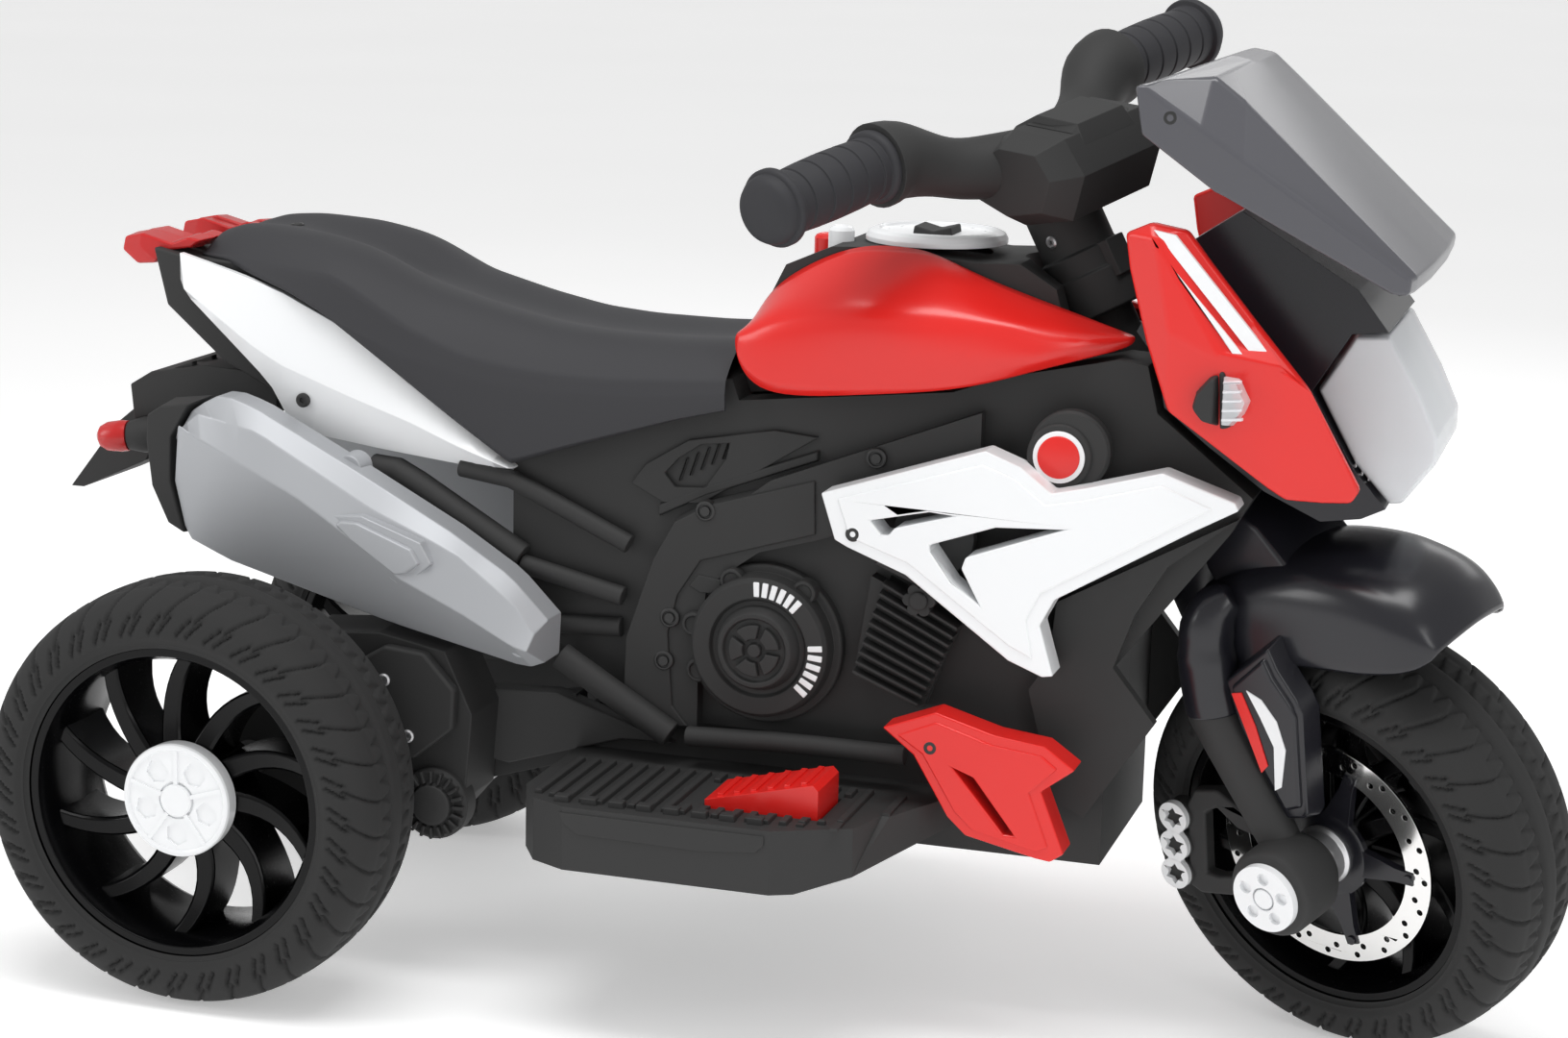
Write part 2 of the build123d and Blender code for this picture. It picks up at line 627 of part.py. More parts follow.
def front_wheel():
    """Steered wheel with a brake disc on each side."""
    place = Pos(WHEELBASE, 0, RIDE_HEIGHT_FRONT)
    keep("front_tyre", steered(place * tyre()))
    keep("front_rim", steered(place * rim()))
    rotor = disc(0, 0, 62.8, 28, 30) - disc(0, 0, 42, 28, 30) + disc(0, 0, 24, 28, 30)
    for arm in ring_of(slab([(20, -4), (46, -4), (46, 4), (20, 4)], 28, 30), 5, Axis.Y):
        rotor = rotor + arm
    holes = ring_of(disc(57, 0, 2.2, 25, 35), 20, Axis.Y)
    for hole in holes:
        rotor = rotor - hole
    rotor = rotor - disc(0, 0, AXLE_R + RUN_GAP, 20, 40)
    spacer = disc(0, 0, 14, 30, 46) - disc(0, 0, AXLE_R + RUN_GAP, 20, 50)
    keep("brake_discs", [steered(place * s) for s in both(rotor)])
    keep("hub_spacers", [steered(place * s) for s in both(spacer)])


# ---- fasteners ---------------------------------------------------------------
def screws():
    """Dark screw heads on the body and fairings, all alike."""
    out = []
    for x, z, y in ((340, 266, 96), (385, 162, 108), (10, 312, 66)):
        out += both(disc(x, z, 4, y, y + 1.5))
    return out


# ---- build and write ---------------------------------------------------------
def build():
    seat_and_tail()
    exhausts()
    body()
    tank()
    chassis()
    nose()
    keep("windshield", windshield())
    steering()
    rear_wheels()
    front_wheel()
    keep("body_screws", screws())


def write():
    os.makedirs("parts", exist_ok=True)
    for name, shape in nodes.items():
        solids = shape if isinstance(shape, list) else [shape]
        moved = [Pos(-MID_LENGTH, 0, 0) * s for s in solids]
        export_step(moved[0] if len(moved) == 1 else Compound(children=moved), f"parts/{name}.step")


build()
write()
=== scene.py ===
"""A children's battery trike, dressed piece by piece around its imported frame.

Every length in the making code is in millimetres: X forward from the rear axle, Y to the
rider's left, Z up from the ground. The steered pieces are drawn straight ahead and then
turned with the fork.
"""
import json
import math

import bmesh
import bpy
from mathutils import Matrix, Vector


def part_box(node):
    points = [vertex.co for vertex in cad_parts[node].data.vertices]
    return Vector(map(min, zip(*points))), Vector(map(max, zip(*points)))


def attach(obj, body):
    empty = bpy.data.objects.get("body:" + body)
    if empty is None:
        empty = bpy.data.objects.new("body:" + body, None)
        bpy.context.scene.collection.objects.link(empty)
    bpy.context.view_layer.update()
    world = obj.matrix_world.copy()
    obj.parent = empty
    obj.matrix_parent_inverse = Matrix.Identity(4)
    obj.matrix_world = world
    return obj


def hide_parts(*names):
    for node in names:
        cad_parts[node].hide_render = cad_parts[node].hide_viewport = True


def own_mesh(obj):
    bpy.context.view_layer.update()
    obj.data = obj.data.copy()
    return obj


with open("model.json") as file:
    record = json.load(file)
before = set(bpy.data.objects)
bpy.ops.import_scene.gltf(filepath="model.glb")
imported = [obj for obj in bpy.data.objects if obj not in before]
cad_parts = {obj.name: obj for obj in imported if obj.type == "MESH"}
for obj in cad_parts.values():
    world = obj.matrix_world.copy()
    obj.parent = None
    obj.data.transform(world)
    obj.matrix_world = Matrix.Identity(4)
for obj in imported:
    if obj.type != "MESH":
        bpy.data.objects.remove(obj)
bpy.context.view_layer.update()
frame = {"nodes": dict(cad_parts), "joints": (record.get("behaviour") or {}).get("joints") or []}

bl_info = {
    "name": "Ride-on trike",
    "version": (1, 0, 0),
    "blender": (4, 5, 0),
    "location": "3D View > Sidebar > Trike",
    "description": "Dresses the packed frame of a children's battery trike",
    "category": "Object",
}

MM = 0.001
JOINTS = {j["name"]: j for j in frame["joints"]}
REAR = Vector(JOINTS["rear_wheel_left_spin"]["pos_m"])
STEER_FOOT = Vector(JOINTS["steering_turn"]["pos_m"])
STEER_DIR = Vector(JOINTS["steering_turn"]["axis"])
REST_TURN = Matrix.Rotation(math.radians(-28), 4, STEER_DIR)
TURN = Matrix.Translation(STEER_FOOT) @ REST_TURN @ Matrix.Translation(-STEER_FOOT)
FOLD_CREASE = 0.25
FOLD_ANGLE = 0.5
FRONT = (598.0, 115.6)
AXLE_Z = 115.0
TRACK = 162.0


def at(x, y, z):
    """A point in the frame's metres."""
    return Vector((REAR.x + x * MM, y * MM, z * MM))


# ---- sizes and colours a user may change -------------------------------------
def colour(name, description, default):
    """A paint or moulding colour."""
    return bpy.props.FloatVectorProperty(name=name, description=description, default=default,
                                         subtype="COLOR", size=3, min=0.0, max=1.0)


class TrikeColours(bpy.types.PropertyGroup):
    """Colours of the mouldings."""
    red: colour("Panel red", "Tank, cowl and belly covers", (0.47, 0.005, 0.006))
    white: colour("Panel white", "Side covers, dial and hub caps", (0.60, 0.61, 0.63))
    black: colour("Body black", "Grained chassis mouldings", (0.0045, 0.0045, 0.005))
    gloss: colour("Gloss black", "Fork, fender, rims and headlight shell", (0.0015, 0.0015, 0.0018))
    seat: colour("Seat", "Saddle moulding", (0.0085, 0.0085, 0.0095))
    silver: colour("Silencer silver", "Metallic coat of the silencers", (0.15, 0.153, 0.16))
    smoke: colour("Screen", "Smoked screen over the nose", (0.011, 0.0098, 0.0098))
    lamp: colour("Lamp red", "Tail lamp moulding", (0.40, 0.005, 0.007))


class TrikeSizes(bpy.types.PropertyGroup):
    """Edge and texture sizes that don't move a piece."""
    edge: bpy.props.FloatProperty(name="Edge radius", description="Rounding of the moulded edges",
                                  default=1.6 * MM, min=0.2 * MM, max=3 * MM, unit="LENGTH")
    grain: bpy.props.FloatProperty(name="Grain", description="Size of the grain on matt mouldings",
                                   default=0.7 * MM, min=0.2 * MM, max=3 * MM, unit="LENGTH")
    tread_depth: bpy.props.FloatProperty(name="Tread depth", description="Depth of the tyre grooves",
                                         default=2.2 * MM, min=0.0, max=4 * MM, unit="LENGTH")
    floor_size: bpy.props.FloatProperty(name="Floor", description="Width of the studio floor",
                                        default=70.0, min=2.0, max=120.0, unit="LENGTH")


def colours():
    return bpy.context.scene.trike_colours


def sizes():
    return bpy.context.scene.trike_sizes


# ---- shader maths -------------------------------------------------------------
class Val:
    """A number that varies over a surface, usable in Python sums."""

    def __init__(self, shade, socket):
        self.shade = shade
        self.socket = socket

    def math(self, operation, *others, clamp=False):
        values = {i: v for i, v in enumerate((self,) + others)}
        return self.shade.node("ShaderNodeMath", {"operation": operation, "use_clamp": clamp}, values)

    def __add__(self, other):
        return self.math("ADD", other)

    __radd__ = __add__

    def __sub__(self, other):
        return self.math("SUBTRACT", other)

    def __rsub__(self, other):
        return self.shade.node("ShaderNodeMath", {"operation": "SUBTRACT"}, {0: other, 1: self})

    def __mul__(self, other):
        return self.math("MULTIPLY", other)

    __rmul__ = __mul__

    def clamped(self):
        return self.math("MULTIPLY", 1.0, clamp=True)


class Shade:
    """Builds one procedural finish."""

    def __init__(self, name):
        self.material = bpy.data.materials.new(name)
        self.material.use_nodes = True
        self.tree = self.material.node_tree
        self.tree.nodes.clear()
        self.output = self.tree.nodes.new("ShaderNodeOutputMaterial")

    def node(self, kind, settings=None, values=None, out=0):
        made = self.tree.nodes.new(kind)
        settings = dict(settings or {})
        stops = settings.pop("stops", None)
        for key, value in settings.items():
            setattr(made, key, value)
        if stops:
            ramp = made.color_ramp
            while len(ramp.elements) < len(stops):
                ramp.elements.new(0.5)
            for element, (place, tone) in zip(ramp.elements, stops):
                element.position = place
                element.color = tone
        for key, value in (values or {}).items():
            socket = made.inputs[key]
            if isinstance(value, Val):
                self.tree.links.new(value.socket, socket)
            else:
                socket.default_value = value
        return Val(self, made.outputs[out])

    def place(self):
        """Where a point of the piece lies, in metres."""
        return self.node("ShaderNodeTexCoord", out="Object")

    def stretched(self, scale):
        return self.node("ShaderNodeMapping", {}, {"Vector": self.place(), "Scale": scale})

    def noise(self, vector, scale, detail=2.0, rough=0.5):
        values = {"Vector": vector, "Scale": scale, "Detail": detail, "Roughness": rough}
        return self.node("ShaderNodeTexNoise", {}, values, "Fac")

    def blend(self, factor, first, second):
        """A colour between two, by a varying factor."""
        values = {0: factor, 6: first, 7: second}
        return self.node("ShaderNodeMix", {"data_type": "RGBA"}, values, 2)

    def bump(self, height, strength, distance, below=None):
        values = {"Height": height, "Strength": strength, "Distance": distance}
        if below:
            values["Normal"] = below
        return self.node("ShaderNodeBump", {}, values)

    def surface(self, values):
        """Ends the finish in one Principled surface."""
        shader = self.node("ShaderNodeBsdfPrincipled", {}, values)
        self.tree.links.new(shader.socket, self.output.inputs["Surface"])
        return self.material


def rgba(tone, gain=1.0):
    return (tone[0] * gain, tone[1] * gain, tone[2] * gain, 1.0)


def moulded(name, tone, rough, grain, depth, extra=None, spread=0.08, shift=0.12):
    """A moulded or coated finish: grain, cloudy gloss and hairline scratches."""
    s = Shade(name)
    cloud = s.noise(s.place(), 16.0, 3.0)
    fine = s.noise(s.place(), 1.0 / grain, 3.0, 0.65)
    hair = s.noise(s.stretched((60.0, 1400.0, 900.0)), 1.0, 2.0)
    hair2 = s.noise(s.stretched((1300.0, 900.0, 50.0)), 1.0, 2.0)
    scratch = ((hair - 0.68) * 9.0).clamped() + ((hair2 - 0.69) * 9.0).clamped()
    base = s.blend((cloud * 0.8 + fine * 0.2).clamped(), rgba(tone, 1.0 - shift), rgba(tone, 1.0 + shift))
    roughness = (rough + (cloud - 0.5) * spread + scratch * 0.12 + (fine - 0.5) * spread * 0.6).clamped()
    normal = s.bump(fine, 0.55, depth)
    normal = s.bump(cloud, 0.25, 0.0004, normal)
    values = {"Base Color": base, "Roughness": roughness, "Normal": normal}
    values.update(extra or {})
    return s.surface(values)


def brushed(name, tone, rough, scale):
    """Bright metal with fine turning or brushing lines."""
    s = Shade(name)
    lines = s.noise(s.stretched(scale), 1.0, 4.0, 0.7)
    cloud = s.noise(s.place(), 30.0, 2.0)
    base = s.blend(lines, rgba(tone, 0.82), rgba(tone, 1.05))
    roughness = (rough + (lines - 0.5) * 0.22 + (cloud - 0.5) * 0.1).clamped()
    return s.surface({"Base Color": base, "Roughness": roughness, "Metallic": 1.0,
                      "Normal": s.bump(lines, 0.3, 0.00012)})


def metallic_coat(name, tone):
    """Silver coat with fine flakes over plastic."""
    s = Shade(name)
    flakes = s.node("ShaderNodeTexVoronoi", {}, {"Vector": s.place(), "Scale": 2600.0}, "Color")
    spark = s.node("ShaderNodeSeparateColor", {}, {"Color": flakes})
    cloud = s.noise(s.place(), 14.0, 3.0)
    base = s.blend((spark * 0.6 + cloud * 0.4).clamped(), rgba(tone, 0.78), rgba(tone, 1.22))
    roughness = (0.27 + spark * 0.12 + (cloud - 0.5) * 0.08).clamped()
    return s.surface({"Base Color": base, "Roughness": roughness, "Metallic": 0.78,
                      "Normal": s.bump(cloud + spark * 0.1, 0.2, 0.0003), "Coat Weight": 0.35,
                      "Coat Roughness": 0.12})


def clear(name, tone, rough, body):
    """A see-through moulding with faint ripples."""
    s = Shade(name)
    ripple = s.noise(s.place(), 45.0, 2.0)
    base = s.blend(ripple, rgba(tone, 0.94), rgba(tone, 1.0))
    roughness = (rough + (ripple - 0.5) * 0.05).clamped()
    return s.surface({"Base Color": base, "Roughness": roughness, "IOR": 1.46,
                      "Transmission Weight": body, "Normal": s.bump(ripple, 0.12, 0.0005)})


def finish(name):
    """The finish of that name, made once."""
    found = bpy.data.materials.get(name)
    if found:
        return found
    c, grain = colours(), sizes().grain
    makers = {
        "body_black": lambda: moulded(name, c.black, 0.5, grain, 0.00022, {"Specular IOR Level": 0.1}),
        "gloss_black": lambda: moulded(name, c.gloss, 0.09, grain * 4, 0.00003,
                                       {"Specular IOR Level": 0.4}, 0.05),
        "panel_red": lambda: moulded(name, c.red, 0.2, grain * 3, 0.00003,
                                     {"Specular IOR Level": 0.28}, 0.05, 0.03),
        "panel_white": lambda: moulded(name, c.white, 0.24, grain * 3, 0.00003,
                                       {"Specular IOR Level": 0.3}, 0.05, 0.02),
        "seat_black": lambda: moulded(name, c.seat, 0.56, grain * 0.9, 0.00035, {"Specular IOR Level": 0.12}),
        "tyre_black": lambda: moulded(name, (0.007, 0.007, 0.0075), 0.56, grain * 1.2, 0.00015,
                                      {"Specular IOR Level": 0.09}),
        "grip_black": lambda: moulded(name, (0.009, 0.009, 0.0095), 0.42, grain * 0.8, 0.0001,
                                      {"Specular IOR Level": 0.17}),
        "rim_black": lambda: moulded(name, c.gloss, 0.24, grain * 3, 0.00004,
                                     {"Specular IOR Level": 0.2}, 0.06),
        "lamp_red": lambda: moulded(name, c.lamp, 0.16, grain * 4, 0.00003,
                                    {"Transmission Weight": 0.25, "Coat Weight": 0.4}, 0.05),
        "screen_smoked": lambda: moulded(name, c.smoke, 0.5, grain * 2, 0.00002,
                                         {"Specular IOR Level": 0.07}, 0.06),
        "exhaust_silver": lambda: metallic_coat(name, c.silver),
        "lens_clear": lambda: clear(name, (0.93, 0.95, 0.97), 0.05, 0.92),
        "reflector": lambda: brushed(name, (0.9, 0.9, 0.91), 0.22, (500.0, 500.0, 60.0)),
        "steel": lambda: brushed(name, (0.55, 0.55, 0.56), 0.34, (900.0, 60.0, 900.0)),
        "disc_chrome": lambda: brushed(name, (0.82, 0.81, 0.78), 0.13, (700.0, 700.0, 700.0)),
        "spacer_aluminium": lambda: brushed(name, (0.78, 0.78, 0.79), 0.18, (60.0, 2500.0, 60.0)),
        "battery_grey": lambda: moulded(name, (0.12, 0.12, 0.13), 0.5, grain, 0.0001),
        "bush_black": lambda: moulded(name, (0.03, 0.03, 0.03), 0.45, grain, 0.0001),
        "screw_black": lambda: moulded(name, (0.02, 0.02, 0.02), 0.32, grain, 0.00005, {"Metallic": 0.6}),
    }
    return makers[name]()


# ---- mesh helpers --------------------------------------------------------------
def resample(line, count):
    """Points evenly spaced along a broken line in space."""
    line = [Vector(p) for p in line]
    steps = [(b - a).length for a, b in zip(line, line[1:])]
    total = sum(steps)
    out = []
    for i in range(count):
        want = total * i / (count - 1)
        k = 0
        while k < len(steps) - 1 and want > steps[k]:
            want -= steps[k]
            k += 1
        out.append(line[k].lerp(line[k + 1], min(1.0, want / max(steps[k], 1e-9))))
    return out


def smooth_line(line, count):
    """Points along a smooth curve through the given points."""
    line = [Vector(p) for p in line]
    ends = [line[0] * 2 - line[1]] + line + [line[-1] * 2 - line[-2]]
    dense = []
    for a, b, c, d in zip(ends, ends[1:], ends[2:], ends[3:]):
        for i in range(8):
            t = i / 8
            dense.append(0.5 * (2 * b + (c - a) * t + (2 * a - 5 * b + 4 * c - d) * t * t
                                + (3 * b - a - 3 * c + d) * t ** 3))
    return resample(dense + [line[-1]], count)


def level(points, x):
    """Height of a broken line at x."""
    if x <= points[0][0]:
        return points[0][1]
    for (x0, z0), (x1, z1) in zip(points, points[1:]):
        if x <= x1:
            return z0 + (z1 - z0) * (x - x0) / (x1 - x0)
    return points[-1][1]


def flat(outline, y):
    """Side outline as points in space at one Y."""
    return [(x, y, z) for x, z in outline]


def circle(x, z, radius, count=24, start=0.0):
    """Side outline of a circle."""
    turns = [start + 2 * math.pi * i / count for i in range(count)]
    return [(x + radius * math.cos(t), z + radius * math.sin(t)) for t in turns]


def turned_out(centre, turn, corners):
    """Side outline of (distance out, distance across) corners, turned about a centre."""
    c, s = math.cos(turn), math.sin(turn)
    return [(centre[0] + r * c - w * s, centre[1] + r * s + w * c) for r, w in corners]


class Shape:
    """Corners and faces of one piece."""

    def __init__(self):
        self.points = []
        self.faces = []
        self.finishes = []
        self.mark = 0

    def add(self, points, faces):
        start = len(self.points)
        self.points += [Vector(p) for p in points]
        self.faces += [[start + i for i in face] for face in faces]
        self.finishes += [self.mark] * len(faces)
        return self

    def use(self, mark):
        """Later faces take this finish of the piece."""
        self.mark = mark
        return self

    def rings(self, rings, ends=True, closed=True):
        """Skins outlines that have as many corners each."""
        n = len(rings[0])
        faces = []
        for i in range(len(rings) - 1):
            for j in range(n if closed else n - 1):
                k = (j + 1) % n
                faces.append([i * n + j, i * n + k, (i + 1) * n + k, (i + 1) * n + j])
        if ends and closed:
            faces.append(list(range(n)))
            faces.append([(len(rings) - 1) * n + j for j in range(n)])
        return self.add([p for ring in rings for p in ring], faces)

    def prism(self, outline, y0, y1):
        return self.rings([flat(outline, y0), flat(outline, y1)])

    def raised(self, outline, y0, y1, draft):
        """Prism whose outer face is a little smaller all round."""
        n = len(outline)
        area = sum(a[0] * b[1] - b[0] * a[1] for a, b in zip(outline, outline[1:] + outline[:1]))
        side = 1 if area > 0 else -1
        inner = []
        for i in range(n):
            a, b, c = Vector(outline[i - 1]), Vector(outline[i]), Vector(outline[(i + 1) % n])
            d1, d2 = (b - a).normalized(), (c - b).normalized()
            n1, n2 = Vector((-d1.y, d1.x)) * side, Vector((-d2.y, d2.x)) * side
            m = n1 + n2
            m = m / max(m.length_squared / 2, 0.5)
            inner.append(tuple(b + m * draft))
        return self.rings([flat(outline, y0), flat(inner, y1)])

    def band(self, lines, count, ends=True, smooth=False):
        """Skins a closed section that follows several long lines."""
        spread = smooth_line if smooth else resample
        rows = [spread(line, count) for line in lines]
        return self.rings([list(ring) for ring in zip(*rows)], ends)

    def lathe(self, centre, axis, profile, sides=48, ends=True):
        """Turns a profile of (distance along the axis, radius)."""
        axis = Vector(axis).normalized()
        u = axis.orthogonal().normalized()
        v = axis.cross(u)
        rings = []
        for along, radius in profile:
            mid = Vector(centre) + axis * along
            turns = [2 * math.pi * i / sides for i in range(sides)]
            rings.append([mid + (u * math.cos(t) + v * math.sin(t)) * radius for t in turns])
        return self.rings(rings, ends)

    def tube(self, path, radii, sides=24, squash=1.0):
        """Round bar of varying radius along a path."""
        path = [Vector(p) for p in path]
        rings = []
        side = None
        for i, p in enumerate(path):
            ahead = path[min(i + 1, len(path) - 1)] - path[max(i - 1, 0)]
            axis = ahead.normalized()
            u = axis.orthogonal() if side is None else side - axis * side.dot(axis)
            u = side = u.normalized()
            v = axis.cross(u)
            r = radii[i] if isinstance(radii, (list, tuple)) else radii
            turns = [2 * math.pi * k / sides for k in range(sides)]
            rings.append([p + u * math.cos(t) * r + v * math.sin(t) * r * squash for t in turns])
        return self.rings(rings)

    def plate(self, outlines, y0, y1):
        """Flat plate with holes: the first outline is its edge."""
        curve = bpy.data.curves.new("plate", "CURVE")
        curve.dimensions = "2D"
        curve.fill_mode = "BOTH"
        curve.extrude = abs(y1 - y0) / 2
        for outline in outlines:
            spline = curve.splines.new("POLY")
            spline.points.add(len(outline) - 1)
            for point, (x, z) in zip(spline.points, outline):
                point.co = (x, z, 0, 1)
            spline.use_cyclic_u = True
        holder = bpy.data.objects.new("plate", curve)
        mesh = bpy.data.meshes.new_from_object(holder)
        mid = (y0 + y1) / 2
        points = [(v.co.x, mid + v.co.z, v.co.y) for v in mesh.vertices]
        faces = [list(p.vertices) for p in mesh.polygons]
        bpy.data.objects.remove(holder)
        bpy.data.curves.remove(curve)
        bpy.data.meshes.remove(mesh)
        return self.add(points, faces)

    def screw(self, x, y, z, radius=4.0, out=1.2, axis=(0, 1, 0)):
        """Pan head screw with a round recess."""
        self.lathe((x, y, z), axis, [(-1, radius), (out * 0.5, radius), (out, radius * 0.75),
                                     (out, radius * 0.4), (out - 1.0, radius * 0.3)], 20)
        return self

    def bent(self, move):
        """Moves every corner by a rule."""
        self.points = [Vector(move(p)) for p in self.points]
        return self

    def twin(self):
        """Adds the same shape on the other side of the centre plane."""
        n = len(self.points)
        self.points += [Vector((p.x, -p.y, p.z)) for p in self.points]
        self.faces += [[n + i for i in face] for face in self.faces]
        self.finishes += self.finishes
        return self

    def piece(self, name, finishes, body, replaces=(), **look):
        """Makes the object, gives it its finishes and lets it ride on its body."""
        mesh = bpy.data.meshes.new(name)
        mesh.from_pydata([at(*p) for p in self.points], [], self.faces)
        for face, mark in zip(mesh.polygons, self.finishes):
            face.material_index = mark
        return settle(mesh, name, finishes, body, replaces, **look)


def settle(mesh, name, finishes, body, replaces, bevel=0.0, angle=28.0, thick=0.0, subdivide=0,
           turned=False, weld=0.02, crease=0.0):
    """Cleans a mesh, adds its modifiers, parents it to its body and hides the parts it replaces.

    bevel is a share of the edge size, thick and weld are in millimetres, angle is the sharpest
    fold in degrees that is still shaded smooth, and crease holds the open edges of a softened piece.
    """
    bm = bmesh.new()
    bm.from_mesh(mesh)
    bmesh.ops.remove_doubles(bm, verts=bm.verts, dist=weld * MM)
    bmesh.ops.recalc_face_normals(bm, faces=bm.faces)
    if crease:
        held = bm.edges.layers.float.new("crease_edge")
        for edge in bm.edges:
            fold = FOLD_CREASE if edge.calc_face_angle(0) > FOLD_ANGLE else 0.0
            edge[held] = crease if edge.is_boundary else fold
    bm.to_mesh(mesh)
    bm.free()
    if turned:
        mesh.transform(TURN)
    for key in finishes:
        mesh.materials.append(finish(key))
    mesh.shade_smooth()
    mesh.set_sharp_from_angle(angle=math.radians(angle))
    piece = bpy.data.objects.new(name, mesh)
    bpy.context.scene.collection.objects.link(piece)
    if thick:
        shell = piece.modifiers.new("wall", "SOLIDIFY")
        shell.thickness = thick * MM
        shell.offset = -1
    if subdivide:
        soft = piece.modifiers.new("soften", "SUBSURF")
        soft.levels = soft.render_levels = subdivide
    if bevel:
        edge = piece.modifiers.new("edge", "BEVEL")
        edge.width = bevel * sizes().edge
        edge.segments = 2
        edge.limit_method = "ANGLE"
        edge.angle_limit = math.radians(angle)
        edge.harden_normals = True
        edge.use_clamp_overlap = True
    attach(piece, body)
    if replaces:
        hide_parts(*replaces)
    return piece


def dressed(node, name, key, body, bevel=1.0, angle=28.0, trim=None):
    """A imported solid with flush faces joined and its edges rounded."""
    mesh = frame["nodes"][node].data.copy()
    mesh.materials.clear()
    bm = bmesh.new()
    bm.from_mesh(mesh)
    for corner in bm.verts if trim else ():
        corner.co = at(*trim((corner.co.x - REAR.x) / MM, corner.co.y / MM, corner.co.z / MM))
    bmesh.ops.remove_doubles(bm, verts=bm.verts, dist=0.005 * MM)
    bmesh.ops.dissolve_limit(bm, angle_limit=math.radians(1.0), verts=bm.verts, edges=bm.edges)
    bm.to_mesh(mesh)
    bm.free()
    return settle(mesh, name, [key], body, [node], bevel, angle, weld=0.005)


class Maker(bpy.types.Operator):
    """Shared settings of the operators that make pieces."""
    bl_options = {"REGISTER", "UNDO"}


# ---- seat and tail -------------------------------------------------------------
SEAT_MIDDLE = [(-57, 390), (-50, 396.5), (-44, 398.5), (-14, 398.5), (16, 392), (34, 387), (57, 377),
               (75, 372.5), (104, 364.5), (139, 357), (173, 353), (207, 352), (243, 353.5), (264, 355)]
SEAT_CROWN = [(-57, 391), (-52, 397), (-38, 401.5), (-19, 402.5), (13, 400), (37, 395), (48, 391.5),
              (70, 381), (81, 376), (120, 366), (152, 359.5), (182, 357), (225, 356.5), (264, 358)]
SEAT_CREASE = [(-57, 386), (-27, 388), (-1, 385), (34, 383), (54, 373), (72, 362), (90, 353),
               (115, 344), (142, 340), (168, 338), (198, 338), (264, 342)]
SEAT_UNDER = [(-57, 385), (-30, 385), (8, 373), (43, 355), (77, 343), (122, 332), (155, 328.5),
              (210, 329), (264, 334)]
SEAT_HEM = [(-57, 384), (-28, 382), (-22, 379), (7, 371), (31, 360), (62, 339), (78, 328), (102, 311),
            (141, 285), (180, 299), (234, 317), (264, 325)]
SEAT_WIDTH = [(-57, 41), (-45, 49), (-27, 58), (-1, 66), (23, 69.5), (60, 72), (264, 72)]


class TRIKE_OT_seat(Maker):
    """Make the one-piece saddle with its creased sides"""
    bl_idname = "trike.seat"
    bl_label = "Seat"

    def execute(self, context):
        stations = sorted(set([-57, -55, -52, -48, -43, 141] + list(range(-38, 262, 8)) + [262]))
        rings = []
        for x in stations:
            wide = level(SEAT_WIDTH, x)
            crown, crease = level(SEAT_CROWN, x), level(SEAT_CREASE, x)
            under, hem = level(SEAT_UNDER, x), level(SEAT_HEM, x)
            half = [(0, level(SEAT_MIDDLE, x)), (0.16 * wide, level(SEAT_MIDDLE, x) + 0.4)]
            half += [(0.36 * wide, crown - 0.6), (0.5 * wide, crown), (0.66 * wide, crown - 0.8)]
            half += [(0.8 * wide, crown * 0.72 + crease * 0.28), (0.93 * wide, crown * 0.3 + crease * 0.7)]
            half += [(wide, crease), (wide + 1.5, crease - 1.2), (wide + 2.2, under + 1.2)]
            half += [(wide + 3, under), (wide + 2.4, under * 0.6 + hem * 0.4), (wide + 2.4, hem)]
            half += [(wide - 0.6, hem), (wide - 0.8, under)]
            left = [(x, y, z) for y, z in reversed(half[1:])]
            rings.append(left + [(x, -y, z) for y, z in half])
        seat = Shape().rings(rings, ends=False, closed=False)
        rear = [Vector(p) for p in rings[0]]
        seat.rings([rear, [Vector((-58, p.y * 0.96, 385)) for p in rear]], ends=False, closed=False)
        seat.piece("saddle", ["seat_black"], "frame", ["seat"], subdivide=1, angle=50)
        screw = Shape().screw(-20, 0, 398, 4.2, 1.6, (-0.08, 0, 1))
        screw.piece("saddle_screw", ["screw_black"], "frame")
        return {"FINISHED"}


TAIL_TOP = [(-59, 388), (-22, 378), (3, 370), (40, 353), (76, 327), (107, 306), (141, 284)]
TAIL_RIDGE = [(-53, 369), (-13, 341), (5, 331), (45, 317), (82, 305), (110, 294), (140, 284)]
TAIL_LOW = [(-58, 373), (-53, 363), (-30, 342), (-5, 319), (10, 294), (65, 287), (125, 281), (141, 283)]


